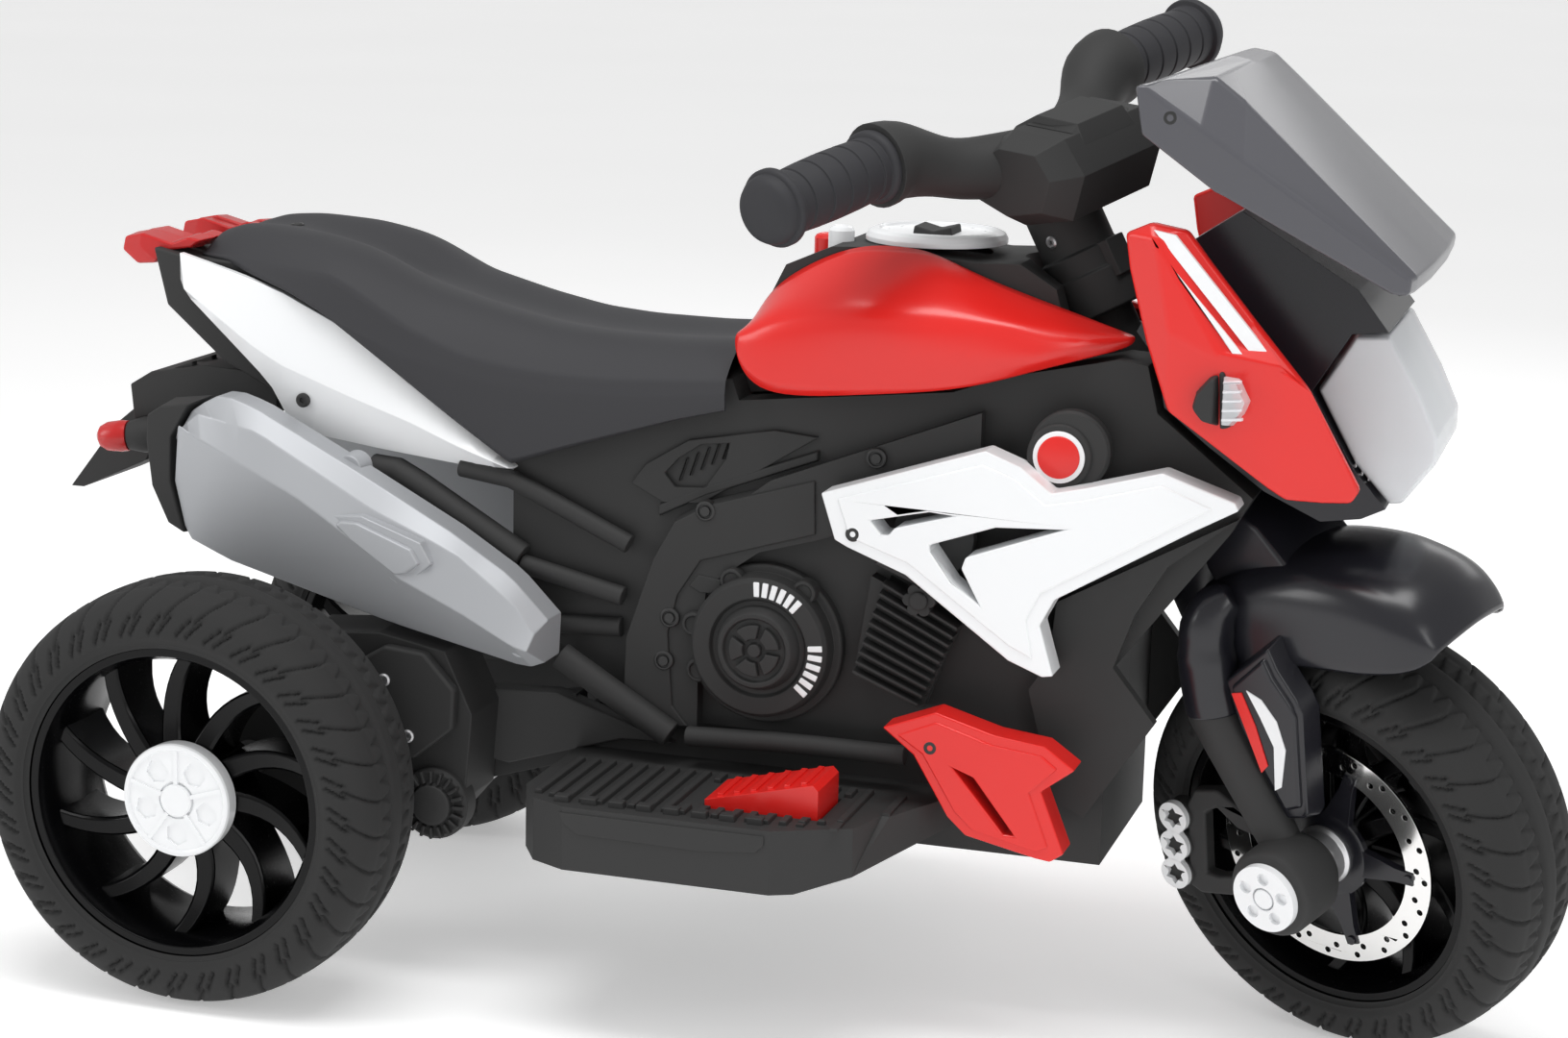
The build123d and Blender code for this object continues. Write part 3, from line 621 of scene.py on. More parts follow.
class TRIKE_OT_tail(Maker):
    """Make the tail carrier, its white panels, lamps and rear cover"""
    bl_idname = "trike.tail"
    bl_label = "Tail"

    def execute(self, context):
        dressed("tail_shell", "tail_carrier", "body_black", "frame", 1.2)
        panel = Shape().band([flat(TAIL_TOP, 62), flat(TAIL_TOP, 67), flat(TAIL_RIDGE, 74),
                              flat(TAIL_LOW, 67), flat(TAIL_LOW, 62)], 22)
        panel.twin().piece("tail_covers", ["panel_white"], "frame", ["tail_panels"], bevel=0.9, angle=14)
        lamp = Shape()
        fin = [(-104, 385), (-102, 394), (-90, 396.5), (-72, 392), (-62, 396), (-52, 394), (-60, 388),
               (-76, 385), (-82, 378), (-94, 377)]
        for low, high in ((20, 34), (36, 52)):
            lamp.raised(fin, low, high, 1.2)
        lamp.prism([(-90, 378), (-81, 372), (-81, 389), (-88, 386)], 0, 21)
        lamp.twin().piece("tail_lamp_fins", ["lamp_red"], "frame", ["tail_lamp"], bevel=0.9)
        dressed("rear_fender", "axle_cover", "body_black", "frame", 1.0)
        back = Shape()
        back.prism([(-126, 276), (-121, 283), (-119, 282), (-124, 275)], -20, 20)
        for k in range(3):
            back.prism([(-146 + 9 * k, 245 + 12 * k), (-147.5 + 9 * k, 246 + 12 * k),
                        (-145.5 + 9 * k, 249 + 12 * k), (-144 + 9 * k, 248 + 12 * k)], -30, 30)
        back.piece("plate_ribs", ["body_black"], "frame", bevel=0.3)
        lights = Shape()
        lights.tube(resample([(-72, 60, 284), (-94, 64, 282)], 6), [8, 9.5, 10, 10, 9, 8], 20)
        lights.tube([(-72, 56, 296), (-76, 63, 286)], [5, 7], 16)
        lights.twin()
        lights.piece("rear_indicator_pods", ["body_black"], "frame", ["indicator_pods"], bevel=0.6)
        lens = Shape().tube([(-94, 64, 282), (-98, 64.6, 281.6), (-106, 66, 281), (-110, 66.5, 280.8),
                             (-112, 67, 280.6)], [8.5, 9, 8.2, 6, 2.5], 20)
        lens.twin().piece("rear_indicator_lenses", ["lamp_red"], "frame", ["indicator_lenses"])
        return {"FINISHED"}


# ---- silencers -----------------------------------------------------------------
PIPE_TOP = [(-45, 291), (-35, 308), (-18, 317), (2, 311), (62, 281), (118, 252), (152, 231), (174, 209)]
PIPE_SHOULDER = [(-40, 296), (-28, 307), (8, 299), (45, 279), (76, 262), (113, 247), (126, 241), (158, 217),
                 (169, 203)]
PIPE_CREASE = [(-35, 302), (-28, 297), (34, 268), (52, 257), (95, 228), (131, 212), (160, 197), (168, 195)]
PIPE_LOW = [(-46, 267), (-39, 236), (-13, 225), (84, 199), (163, 182), (173, 186)]
PIPE_CAP = [(-31, 313), (-54, 310), (-63, 304), (-64, 289), (-61, 263), (-51, 242), (-38, 236), (-46, 267),
            (-45, 291), (-35, 308)]
PIPE_PAD = [(47, 255), (53, 260), (72, 261), (107, 249), (114, 237), (101, 226), (92, 223), (62, 243)]
PIPE_PAD_FACE = [(57, 254), (60, 257), (70, 257), (102, 245), (107, 237), (98, 230), (92, 229), (66, 246)]


class TRIKE_OT_exhausts(Maker):
    """Make the two silver silencers with their black end caps"""
    bl_idname = "trike.exhausts"
    bl_label = "Silencers"

    def execute(self, context):
        can = Shape()
        can.band([flat(PIPE_TOP, 80), flat(PIPE_TOP, 99), flat(PIPE_SHOULDER, 108), flat(PIPE_CREASE, 116.5),
                  flat(PIPE_LOW, 101), flat(PIPE_LOW, 80)], 30)
        can.raised(PIPE_PAD, 104, 114.6, 1.2)
        can.raised(PIPE_PAD_FACE, 114, 117, 1.0)
        can.raised(circle(54, 280, 8.5, 24), 78, 92, 1.0)
        can.raised(circle(161, 196, 8, 24), 100, 108.5, 1.0)
        can.twin().piece("silencers", ["exhaust_silver"], "frame", ["exhausts"], bevel=0.8, angle=12)
        cap = Shape()
        cap.raised(PIPE_CAP, 82, 103, 2)
        cap.twin().piece("silencer_caps", ["body_black"], "frame", ["exhaust_caps"], bevel=1.0)
        screws = Shape()
        screws.screw(54, 92, 280, 3.6)
        screws.screw(161, 108, 196, 4.2)
        screws.twin().piece("silencer_screws", ["steel"], "frame")
        return {"FINISHED"}


# ---- body ----------------------------------------------------------------------
SIDE_COVER = [(322, 290), (330, 266), (336, 263), (368, 251), (424, 211), (442, 204), (448, 205), (440, 231),
              (447, 245), (515, 286), (538, 299), (536, 303), (499, 315), (460, 304), (443, 300), (427, 312),
              (408, 319)]
COVER_FACE = [(331, 288), (338, 268), (370, 257), (424, 219), (437, 213), (433, 233), (440, 248), (510, 290),
              (525, 299), (499, 309), (460, 298), (440, 294), (424, 306), (407, 312)]
UPPER_SLOT = [(349, 278), (380, 285), (393, 284), (362, 275), (359, 271), (355, 271)]
LOWER_SLOT = [(381, 268), (415, 280), (451, 282), (400, 263), (398, 257), (408, 239), (393, 249), (381, 265)]
BELLY = [(362, 172), (390, 183), (422, 174), (448, 171), (464, 160), (447, 147), (460, 115), (453, 110),
         (445, 111), (408, 119), (398, 128), (379, 159)]
BELLY_SLOT = [(400, 155), (411, 151), (434, 122), (428, 122)]
SPAR = [(205, 164), (206, 197), (221, 242), (233, 264), (252, 275), (314, 294), (315, 261), (251, 241),
        (239, 222), (234, 201), (237, 162), (248, 149), (222, 146)]
DISH = [(207, 280), (225, 271), (247, 272), (311, 313), (287, 315), (239, 306), (215, 291)]
VENT = [(226, 287), (232, 280), (249, 281), (260, 297), (262, 306), (246, 304), (234, 296)]
FIN_BLOCK = [(352, 243), (394, 222), (373, 176), (336, 191)]


def swept(centre, radius, half, first, last, count=10):
    """Side outline of an arc of the given half width."""
    turns = [math.radians(first + (last - first) * i / (count - 1)) for i in range(count)]
    line = [(radius + half, t) for t in turns] + [(radius - half, t) for t in reversed(turns)]
    return [(centre[0] + r * math.cos(t), centre[1] + r * math.sin(t)) for r, t in line]


class TRIKE_OT_body(Maker):
    """Make the body halves with the engine detail on their sides"""
    bl_idname = "trike.body"
    bl_label = "Body"

    def execute(self, context):
        for side in ("left", "right"):
            dressed("body_shell_" + side, "body_half_" + side, "body_black", "frame", 1.1)
        dressed("swing_arms", "rear_beams", "body_black", "frame", 1.2)
        spar = Shape()
        spar.raised(SPAR, 60, 72.5, 2.2)
        spar.plate([DISH, VENT], 60, 64.6)
        for k in range(5):
            x, z = 233 + 6 * k, 283 + 3.4 * k
            spar.prism([(x, z), (x + 1.6, z), (x + 6, z + 13), (x + 4.4, z + 13)], 61, 63.4)
        spar.raised([(222, 262), (250, 276), (312, 300), (312, 307), (250, 283), (222, 270)], 60, 65, 1.2)
        spar.twin().piece("side_spars", ["body_black"], "frame", bevel=0.7, angle=24)
        fins = Shape()
        high, low = [Vector(p) for p in FIN_BLOCK[:2]], [Vector(p) for p in reversed(FIN_BLOCK[2:])]
        fins.raised(FIN_BLOCK, 60, 71.6, 1.5)
        for k in range(10):
            t = (k + 0.1) / 9.6
            a, b = high[0].lerp(low[0], t), high[1].lerp(low[1], t)
            step = (low[0] - high[0]).normalized() * 2.7
            fins.raised([tuple(a), tuple(b), tuple(b + step), tuple(a + step)], 70, 78.5, 0.5)
        for x, z in circle(372, 234, 5.6, 6):
            fins.lathe((x, 70, z), (0, 1, 0), [(0, 3.4), (9.4, 3.4)], 16)
        fins.lathe((372, 70, 234), (0, 1, 0), [(0, 5), (11, 5), (11.6, 4), (11.6, 2)], 24)
        fins.twin().piece("cylinder_fins", ["body_black"], "frame", bevel=0.4)
        fairing = Shape()
        fairing.plate([SIDE_COVER, UPPER_SLOT, LOWER_SLOT], 76, 95.1)
        fairing.plate([COVER_FACE, UPPER_SLOT, LOWER_SLOT], 94, 96)
        fairing.twin().piece("side_covers", ["panel_white"], "frame", ["side_fairings"], bevel=1.0)
        backing = Shape().plate([circle(378, 268, 22, 20)], 70, 77)
        backing.raised([(345, 251), (363, 264), (417, 231), (445, 204), (436, 200), (372, 240)], 70, 78, 1)
        backing.twin().piece("cover_backs", ["body_black"], "frame", bevel=0.5)
        belly = Shape().plate([BELLY, BELLY_SLOT], 88, 107)
        rim = [(370, 169), (391, 178), (421, 169), (447, 166), (455, 160), (441, 146), (452, 118), (446, 115),
               (411, 123), (402, 131), (384, 160)]
        belly.plate([rim, BELLY_SLOT], 106, 108)
        belly.twin().piece("belly_covers", ["panel_red"], "frame", ["belly_fairings"], bevel=1.2)
        bars = Shape()
        bars.tube(resample([(57, 66, 276), (73, 66, 275), (146, 68, 234)], 8), 8.2, 20)
        bars.tube(resample([(109, 66, 281), (140, 67, 277), (208, 68, 247)], 8), 5.2, 20)
        bars.tube(resample([(146, 68, 231), (205, 68, 218)], 6), 5.4, 20)
        bars.tube(resample([(156, 64, 198), (203, 64, 200)], 4), 5.4, 20)
        bars.tube(resample([(172, 76, 184), (236, 76, 146)], 4), 7.5, 20)
        bars.tube(resample([(246, 78, 147), (300, 80, 150), (368, 80, 150)], 6), 5.5, 20)
        bars.twin().piece("side_tubes", ["body_black"], "frame", ["frame_tubes"], bevel=0.5)
        swing = Shape().raised([(119, 159), (166, 161), (214, 146), (235, 138), (204, 136), (138, 115),
                                (119, 118)], 56, 66, 1.5)
        swing.twin().piece("swing_plates", ["bush_black"], "frame", bevel=0.7)
        clutch = Shape()
        steps = [(0, 43.5), (8, 43.5), (9, 42.5), (9, 39), (18, 38), (20.5, 36), (20.5, 27), (18, 25.5),
                 (18, 23), (25, 21), (26.5, 20), (26.5, 17.6), (24, 16.6), (24, 4), (27, 3.5)]
        clutch.lathe((285, 60, 200), (0, 1, 0), steps, 72)
        for k in range(5):
            clutch.raised(swept((285, 200), 10.2, 4.2, 72 * k + 6, 72 * k + 66, 6), 83, 87, 0.5)
        for x, z in ((268, 234), (308, 231), (247, 208), (250, 183)):
            clutch.lathe((x, 66, z), (0, 1, 0), [(0, 7), (8.5, 6.6), (9.3, 5.8), (9.3, 4.6), (8, 4.2),
                                                 (8, 1)], 28)
        clutch.raised([(242, 228), (248, 236), (262, 234), (262, 225), (250, 224)], 60, 72, 1)
        clutch.use(1)
        for first, last in ((92, 50), (5, -40)):
            for k in range(6):
                turn = math.radians(first + (last - first) * k / 5)
                slot = ((28, -1.5), (36, -1.7), (36, 1.7), (28, 1.5))
                clutch.prism(turned_out((285, 200), turn, slot), 79, 81.2)
        clutch.twin().piece("clutch_housings", ["body_black", "panel_white"], "frame", ["clutch_covers"],
                            bevel=0.5)
        badge = Shape()
        badge.lathe((448, 70, 319), (0, 1, 0), [(0, 21), (7, 21), (8.5, 19.5)], 48)
        badge.lathe((443, 77, 316), (0, 1, 0), [(-4, 17), (2, 17), (3, 16)], 48)
        badge.use(1).lathe((443, 80, 316), (0, 1, 0), [(0, 13.5), (0.8, 13.5), (1.0, 13)], 48)
        badge.use(2).lathe((443, 80.4, 316), (0, 1, 0), [(0, 11), (1.2, 11), (1.4, 10.5)], 48)
        badge.twin().piece("round_badges", ["body_black", "panel_white", "panel_red"], "frame", bevel=0.4)
        bolts = Shape()
        for x, y, z in ((340, 95, 270), (388, 107, 164), (18, 72.5, 312)):
            bolts.screw(x, y, z)
        for x, z in ((345, 306), (230, 186), (214, 157), (233, 210), (252, 270), (425, 252)):
            bolts.lathe((x, 68, z), (0, 1, 0), [(0, 5.8), (5, 5.4), (5.4, 4.8), (5.4, 4), (4.4, 3.8),
                                               (4.4, 3), (5.6, 2.6)], 24)
        bolts.twin().piece("body_bolts", ["screw_black"], "frame", ["body_screws"])
        return {"FINISHED"}


# ---- tank ----------------------------------------------------------------------
TANK = {
    "r0": (266, 44, 366), "r1": (276, 44, 388), "r2": (303, 44, 405), "r3": (330, 45, 415),
    "r4": (363, 46, 413), "r5": (392, 45, 400), "r6": (427, 43, 389), "r7": (467, 40, 376),
    "s0": (268, 76, 368), "s1": (292, 84, 382), "s2": (324, 89, 386), "s3": (392, 89, 386),
    "s4": (412, 84, 384), "s5": (449, 70, 374), "s6": (475, 56, 377),
    "d1": (357, 91, 372), "d2": (393, 89, 363), "d3": (437, 79, 364),
    "b0": (266, 74, 358), "b1": (280, 82, 334), "b2": (338, 84, 341), "b3": (389, 82, 346),
    "b4": (424, 74, 357), "b5": (455, 64, 366), "b6": (474, 52, 371), "v1": (378, 68, 401),
}
TANK_FACETS = ["r0 r1 s1 s0", "r1 r2 s2 s1", "r2 r3 s2", "r3 r4 v1 s3 s2", "r4 r5 v1", "r5 r6 s4 s3 v1",
               "r6 r7 s6 s5 s4", "s0 s1 b1 b0", "s1 s2 d1 b2 b1", "s2 s3 d2 d1", "d1 d2 b3 b2",
               "s3 s4 s5 d3 d2", "d2 d3 b4 b3", "d3 s5 b5 b4", "s5 s6 b6 b5"]


class TRIKE_OT_tank(Maker):
    """Make the tank covers, the insert and the controls on it"""
    bl_idname = "trike.tank"
    bl_label = "Tank"

    def execute(self, context):
        cover = Shape()
        names = list(TANK)
        cover.add(TANK.values(), [[names.index(k) for k in facet.split()] for facet in TANK_FACETS])
        cover.twin().piece("tank_sides", ["panel_red"], "frame", ["tank_covers"], angle=80, thick=3.0,
                           subdivide=3, crease=1.0)
        dressed("tank_top", "tank_insert", "body_black", "frame", 1.2)
        cap = Shape()
        cap.lathe((355, 0, 412.3), (0, 0, 1), [(0, 38), (2.5, 38), (5.2, 36.5), (6.6, 33.5), (6.6, 31),
                                             (5.2, 30), (4.6, 24), (4.4, 12)], 72)
        for x, y in circle(355, 0, 27, 12):
            cap.lathe((x, y, 416.6), (0, 0, 1), [(0, 1.2), (0.9, 1.0)], 10)
        cap.piece("tank_dial", ["panel_white"], "frame", ["tank_cap"], bevel=0.5)
        rocker = Shape()
        rocker.prism([(344, 415), (345, 421), (355, 418.4), (365, 421), (366, 415)], -11, 11)
        rocker.piece("drive_rocker", ["body_black"], "rocker", ["direction_switch"], bevel=0.6)
        for name, node, key, body, x, y, z in (
                ("start_button", "power_button", "panel_white", "power_key", 306, -14, 404),
                ("horn_push", "horn_button", "panel_red", "horn_key", 290, 14, 398)):
            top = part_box(node)[1].z / MM - z
            knob = Shape().lathe((x, y, z), (0, 0, 1), [(0, 7), (top - 2.5, 7), (top - 0.8, 6),
                                                       (top, 4), (top - 0.5, 2)], 32)
            knob.piece(name, [key], body, [node])
        return {"FINISHED"}


# ---- chassis -------------------------------------------------------------------
BOARD_EDGE = [(178, 140), (190, 156), (210, 163), (322, 163), (360, 146)]
WALL_LEDGE = [(208, 127), (211, 121), (218, 116), (285, 115), (315, 118), (319, 122), (319, 127)]


COIL_RADIUS = 5.1
COIL_WIRE = 0.8
COIL_TURNS = 4
COIL_STEPS = 24
FRONT_RIB = (366, 374)
FRONT_RIB_END = 124
FRONT_RIB_FOOT = 129.6


def inside_board(x, y, z):
    """Ends the front rib of each footboard where the board's slanted edge is."""
    past = FRONT_RIB[0] < x < FRONT_RIB[1] and abs(y) > FRONT_RIB_END and z > FRONT_RIB_FOOT
    return (x, math.copysign(FRONT_RIB_END, y), z) if past else (x, y, z)


class TRIKE_OT_chassis(Maker):
    """Make the tray with its footboards, the pedal and the gearbox"""
    bl_idname = "trike.chassis"
    bl_label = "Chassis"

    def execute(self, context):
        dressed("chassis_tray", "chassis_base", "body_black", "frame", 1.5, trim=inside_board)
        for side, sign in (("left", 1), ("right", -1)):
            tread = Shape()
            for k in range(19):
                x = 188 + 9 * k
                wide = level(BOARD_EDGE, x + 2) - 3
                around_pedal = sign < 0 and 268 < x < 346
                for low, high in ([(88, 101), (147, wide)] if around_pedal else [(88, wide)]):
                    if high - low > 3:
                        rib = ((-0.4, 129), (4.4, 129), (3.8, 132.4), (0.2, 132.4))
                        tread.rings([[(x + dx, sign * y, z) for dx, z in rib] for y in (low, high)])
            for k in range(8):
                x = 202 + 15 * k
                tread.rings([[(x, sign * y, 128), (x + 9, sign * y, 128), (x + 8.4, sign * y, 133.5),
                              (x + 0.6, sign * y, 133.5)] for y in (157, 163)])
            tread.rings([flat(WALL_LEDGE, sign * y) for y in (166, 170.8)])
            tread.piece("tread_bars_" + side, ["body_black"], "frame", bevel=0.4)
        dressed("throttle_pedal", "foot_pedal", "panel_red", "pedal", 0.8)
        low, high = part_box("pedal_spring")
        middle = (low + high) / 2
        reach = (high.z - low.z) / MM
        foot = ((middle.x - REAR.x) / MM, middle.y / MM, low.z / MM)
        coil = []
        last = COIL_TURNS * COIL_STEPS
        for k in range(last + 1):
            turn = 2 * math.pi * k / COIL_STEPS
            coil.append((foot[0] + COIL_RADIUS * math.cos(turn), foot[1] + COIL_RADIUS * math.sin(turn),
                         foot[2] + COIL_WIRE + (reach - 2 * COIL_WIRE) * k / last))
        spring = Shape().tube(coil, COIL_WIRE, 8)
        spring = spring.piece("return_spring", ["steel"], "frame", ["pedal_spring"])
        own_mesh(spring)
        dressed("gearbox_case", "gear_housing", "body_black", "frame", 1.4)
        dressed("gearbox_cover", "gear_lid", "body_black", "frame", 1.4)
        motor = Shape()
        motor.lathe((111, -95, 102), (0, -1, 0), [(0, 20), (12, 20), (14, 18), (14, 12), (17, 11), (17.8, 9),
                                                 (17.8, 3)], 48)
        for k in range(20):
            rib = ((12.5, -0.9), (19, -0.9), (19, 0.9), (12.5, 0.9))
            motor.prism(turned_out((111, 102), math.radians(18 * k), rib), -112, -104)
        motor.piece("motor_cap", ["body_black"], "frame", bevel=0.4)
        screws = Shape()
        for x, z in ((84, 170), (98, 140)):
            screws.screw(x, -112, z, 3.6, 1.4, (0, -1, 0))
        screws.piece("gearbox_screws", ["steel"], "frame")
        return {"FINISHED"}


# ---- nose ----------------------------------------------------------------------
COWL_RIM = [(475, 434), (488, 440), (506, 437), (518, 422), (541, 395), (569, 363), (597, 315),
            (593, 308), (579, 307), (561, 307), (552, 312), (500, 347), (488, 380), (478, 416)]
COWL_RIDGE = [(491, 433), (500, 387), (525, 378), (555, 374), (572, 364)]
LENS = [(585, 385), (602, 386), (619, 357), (629, 336), (629, 323), (613, 301), (607, 300), (589, 319),
        (568, 356)]
LENS_INSIDE = [(585, 382), (598, 381), (614, 355), (624, 335), (624, 324), (611, 305), (607, 304), (592, 320),
               (572, 356)]
SCREEN_SIDE = [(519, 457), (524, 455), (607, 413), (615, 413), (616, 421), (532, 474), (512, 487), (482, 507),
               (478, 507), (482, 483)]
SCREEN_RIDGE = [(521, 460), (526, 457), (609, 413), (617, 413), (618, 421), (530, 501), (515, 512),
                (489, 509), (478, 506), (484, 484)]
SCREEN_TOP = [(546, 472), (552, 468), (611, 414), (619, 412.6), (620, 421), (536, 505), (524, 517),
              (513, 519), (504, 516), (515, 498)]


class TRIKE_OT_nose(Maker):
    """Make the headlight, its cowls, the front indicators and the screen"""
    bl_idname = "trike.nose"
    bl_label = "Nose"

    def execute(self, context):
        dressed("headlight_housing", "headlight_shell", "gloss_black", "frame", 1.5)
        n = len(COWL_RIM)
        cowl = Shape()
        points = flat(COWL_RIM, 98) + flat(COWL_RIDGE, 105) + flat(COWL_RIM, 92)
        a, b, c, d, e = range(n, n + 5)
        top = [[0, 1, a], [1, 2, a], [2, 3, a], [3, 4, c, a], [4, 5, d, c], [5, 6, e, d], [6, 7, e],
               [7, 8, e], [8, 9, e], [9, 10, d, e], [10, 11, b, c, d], [11, 12, b], [12, 13, a, b],
               [13, 0, a], [a, c, b]]
        back = n + 5
        walls = [[i, (i + 1) % n, back + (i + 1) % n, back + i] for i in range(n)]
        cowl.add(points, top + walls + [[back + i for i in range(n)]])
        cowl.twin().piece("nose_cowls", ["panel_red"], "frame", ["front_cowls"], bevel=1.2, angle=8)
        stripes = Shape()
        stripes.rings([[(490, y, 437), (501, y, 435), (555, y, 374), (543, y, 377)] for y in (100, 103.6)])
        stripes.rings([[(491, y, 431), (492.5, y, 428), (537, y, 379), (532, y, 379)] for y in (100, 104.6)])
        stripes.twin().piece("cowl_stripes", ["panel_white"], "frame", bevel=0.2)
        cover = Shape().rings([flat(LENS, -55), flat(LENS, -51), flat(LENS, 51), flat(LENS, 55)])
        for k, y in enumerate((-55, 55)):
            shrunk = [(x + (600 - x) * 0.04, z + (344 - z) * 0.04) for x, z in LENS]
            cover.points[k * 3 * len(LENS):(k * 3 + 1) * len(LENS)] = [Vector(p) for p in flat(shrunk, y)]
        cover.piece("headlight_glass", ["lens_clear"], "frame", ["headlight_lens"], bevel=0.8, angle=20,
                    thick=1.6)
        bowl = Shape()
        stations = []
        half = [0, 3, 6, 11, 17, 24, 31, 38, 44, 48, 50.5]
        for y in [-y for y in reversed(half[1:])] + half:
            deep = 15 * max(0.0, math.sin(math.pi * min(1.0, max(0.0, (abs(y) - 2) / 45)))) ** 0.6
            line = []
            for k, (x, z) in enumerate(LENS_INSIDE):
                pull = deep * (0.35, 0.75, 1.0, 1.0, 0.55)[k - 1] if 1 <= k <= 5 else 0
                line.append((x - pull, y, z))
            stations.append(line)
        bowl.rings(stations)
        for side in (-1, 1):
            for x, z, r, lift in ((596, 352, 12, 0.28), (598, 322, 10, -0.16)):
                bowl.lathe((x, side * 24, z), (0.9, 0, lift),
                           [(-6, r * 0.4), (-4, r), (1.5, r), (2.5, r * 0.9), (-1, r * 0.5),
                            (-2, r * 0.2)], 32)
        bowl.use(1)
        inset = [(x + (598 - x) * 0.26, z + (343 - z) * 0.26) for x, z in LENS]
        for side in (-1, 1):
            bowl.rings([flat(inset, side * 50), flat(inset, side * 51.6)])
        bowl.use(0)
        for k in range(9):
            x = 588 + 3.6 * k
            line = [(x, 312 - 0.4 * k), (x + 1.2, 312 - 0.4 * k), (x + 2.4, 336), (x + 1.2, 336)]
            for side in (-1, 1):
                bowl.rings([flat(line, side * 51), flat(line, side * 52.4)])
        bowl.piece("headlight_bowls", ["reflector", "spacer_aluminium"], "frame", bevel=0.2)
        lamp = Shape()
        lamp.raised([(512, 350), (518, 343), (527, 341), (527, 370), (521, 368), (514, 359)], 96, 109, 2.5)
        lamp.raised([(527, 340), (532, 341), (537, 346), (529, 371), (525, 370)], 94, 105, 1)
        lamp.twin().piece("front_indicator_pods", ["body_black"], "frame", bevel=1.2)
        glass = Shape()
        glass.raised([(527, 342), (534, 342), (540, 349), (543, 356), (537, 368), (527, 369)], 96, 111, 2.5)
        for k in range(5):
            z = 346 + 4.6 * k
            tip = 540 - 0.4 * k
            glass.raised([(529, z), (tip, z + 1), (tip, z + 2.8), (529, z + 1.8)], 109, 112.4, 0.4)
        glass.twin().piece("front_indicator_lenses", ["lens_clear"], "frame", bevel=0.6)
        wind = Shape()
        lines = ((SCREEN_SIDE, 107), (SCREEN_RIDGE, 95), (SCREEN_TOP, 38))
        wind.rings([flat(line, y) for line, y in lines] + [flat(line, -y) for line, y in reversed(lines)])
        wind.piece("wind_screen", ["screen_smoked"], "frame", ["windshield"], bevel=1.2, angle=10)
        edge = ((608, -96, 415), (612, -38, 416), (612, 38, 416), (608, 96, 415))
        lip = Shape().rings([[(x + dx, y, z + dz) for dx, dz in ((0, 0), (4, 1), (5, -3), (1, -4))]
                             for x, y, z in edge])
        lip.screw(496, 106, 492, 4, 1.2)
        lip.screw(496, -106, 492, 4, 1.2, (0, -1, 0))
        lip.piece("screen_trim", ["screw_black"], "frame", bevel=0.5)
        return {"FINISHED"}


# ---- steering ------------------------------------------------------------------
LEAN = math.radians(27.2)
COLUMN_DIR = (-math.sin(LEAN), 0, math.cos(LEAN))


def up_column(along, ahead=0.0, side=0.0):
    """A point by its distance up the steering column from the axle height."""
    return (584.6 - math.sin(LEAN) * along + math.cos(LEAN) * ahead, side,
            115.6 + math.cos(LEAN) * along + math.sin(LEAN) * ahead)


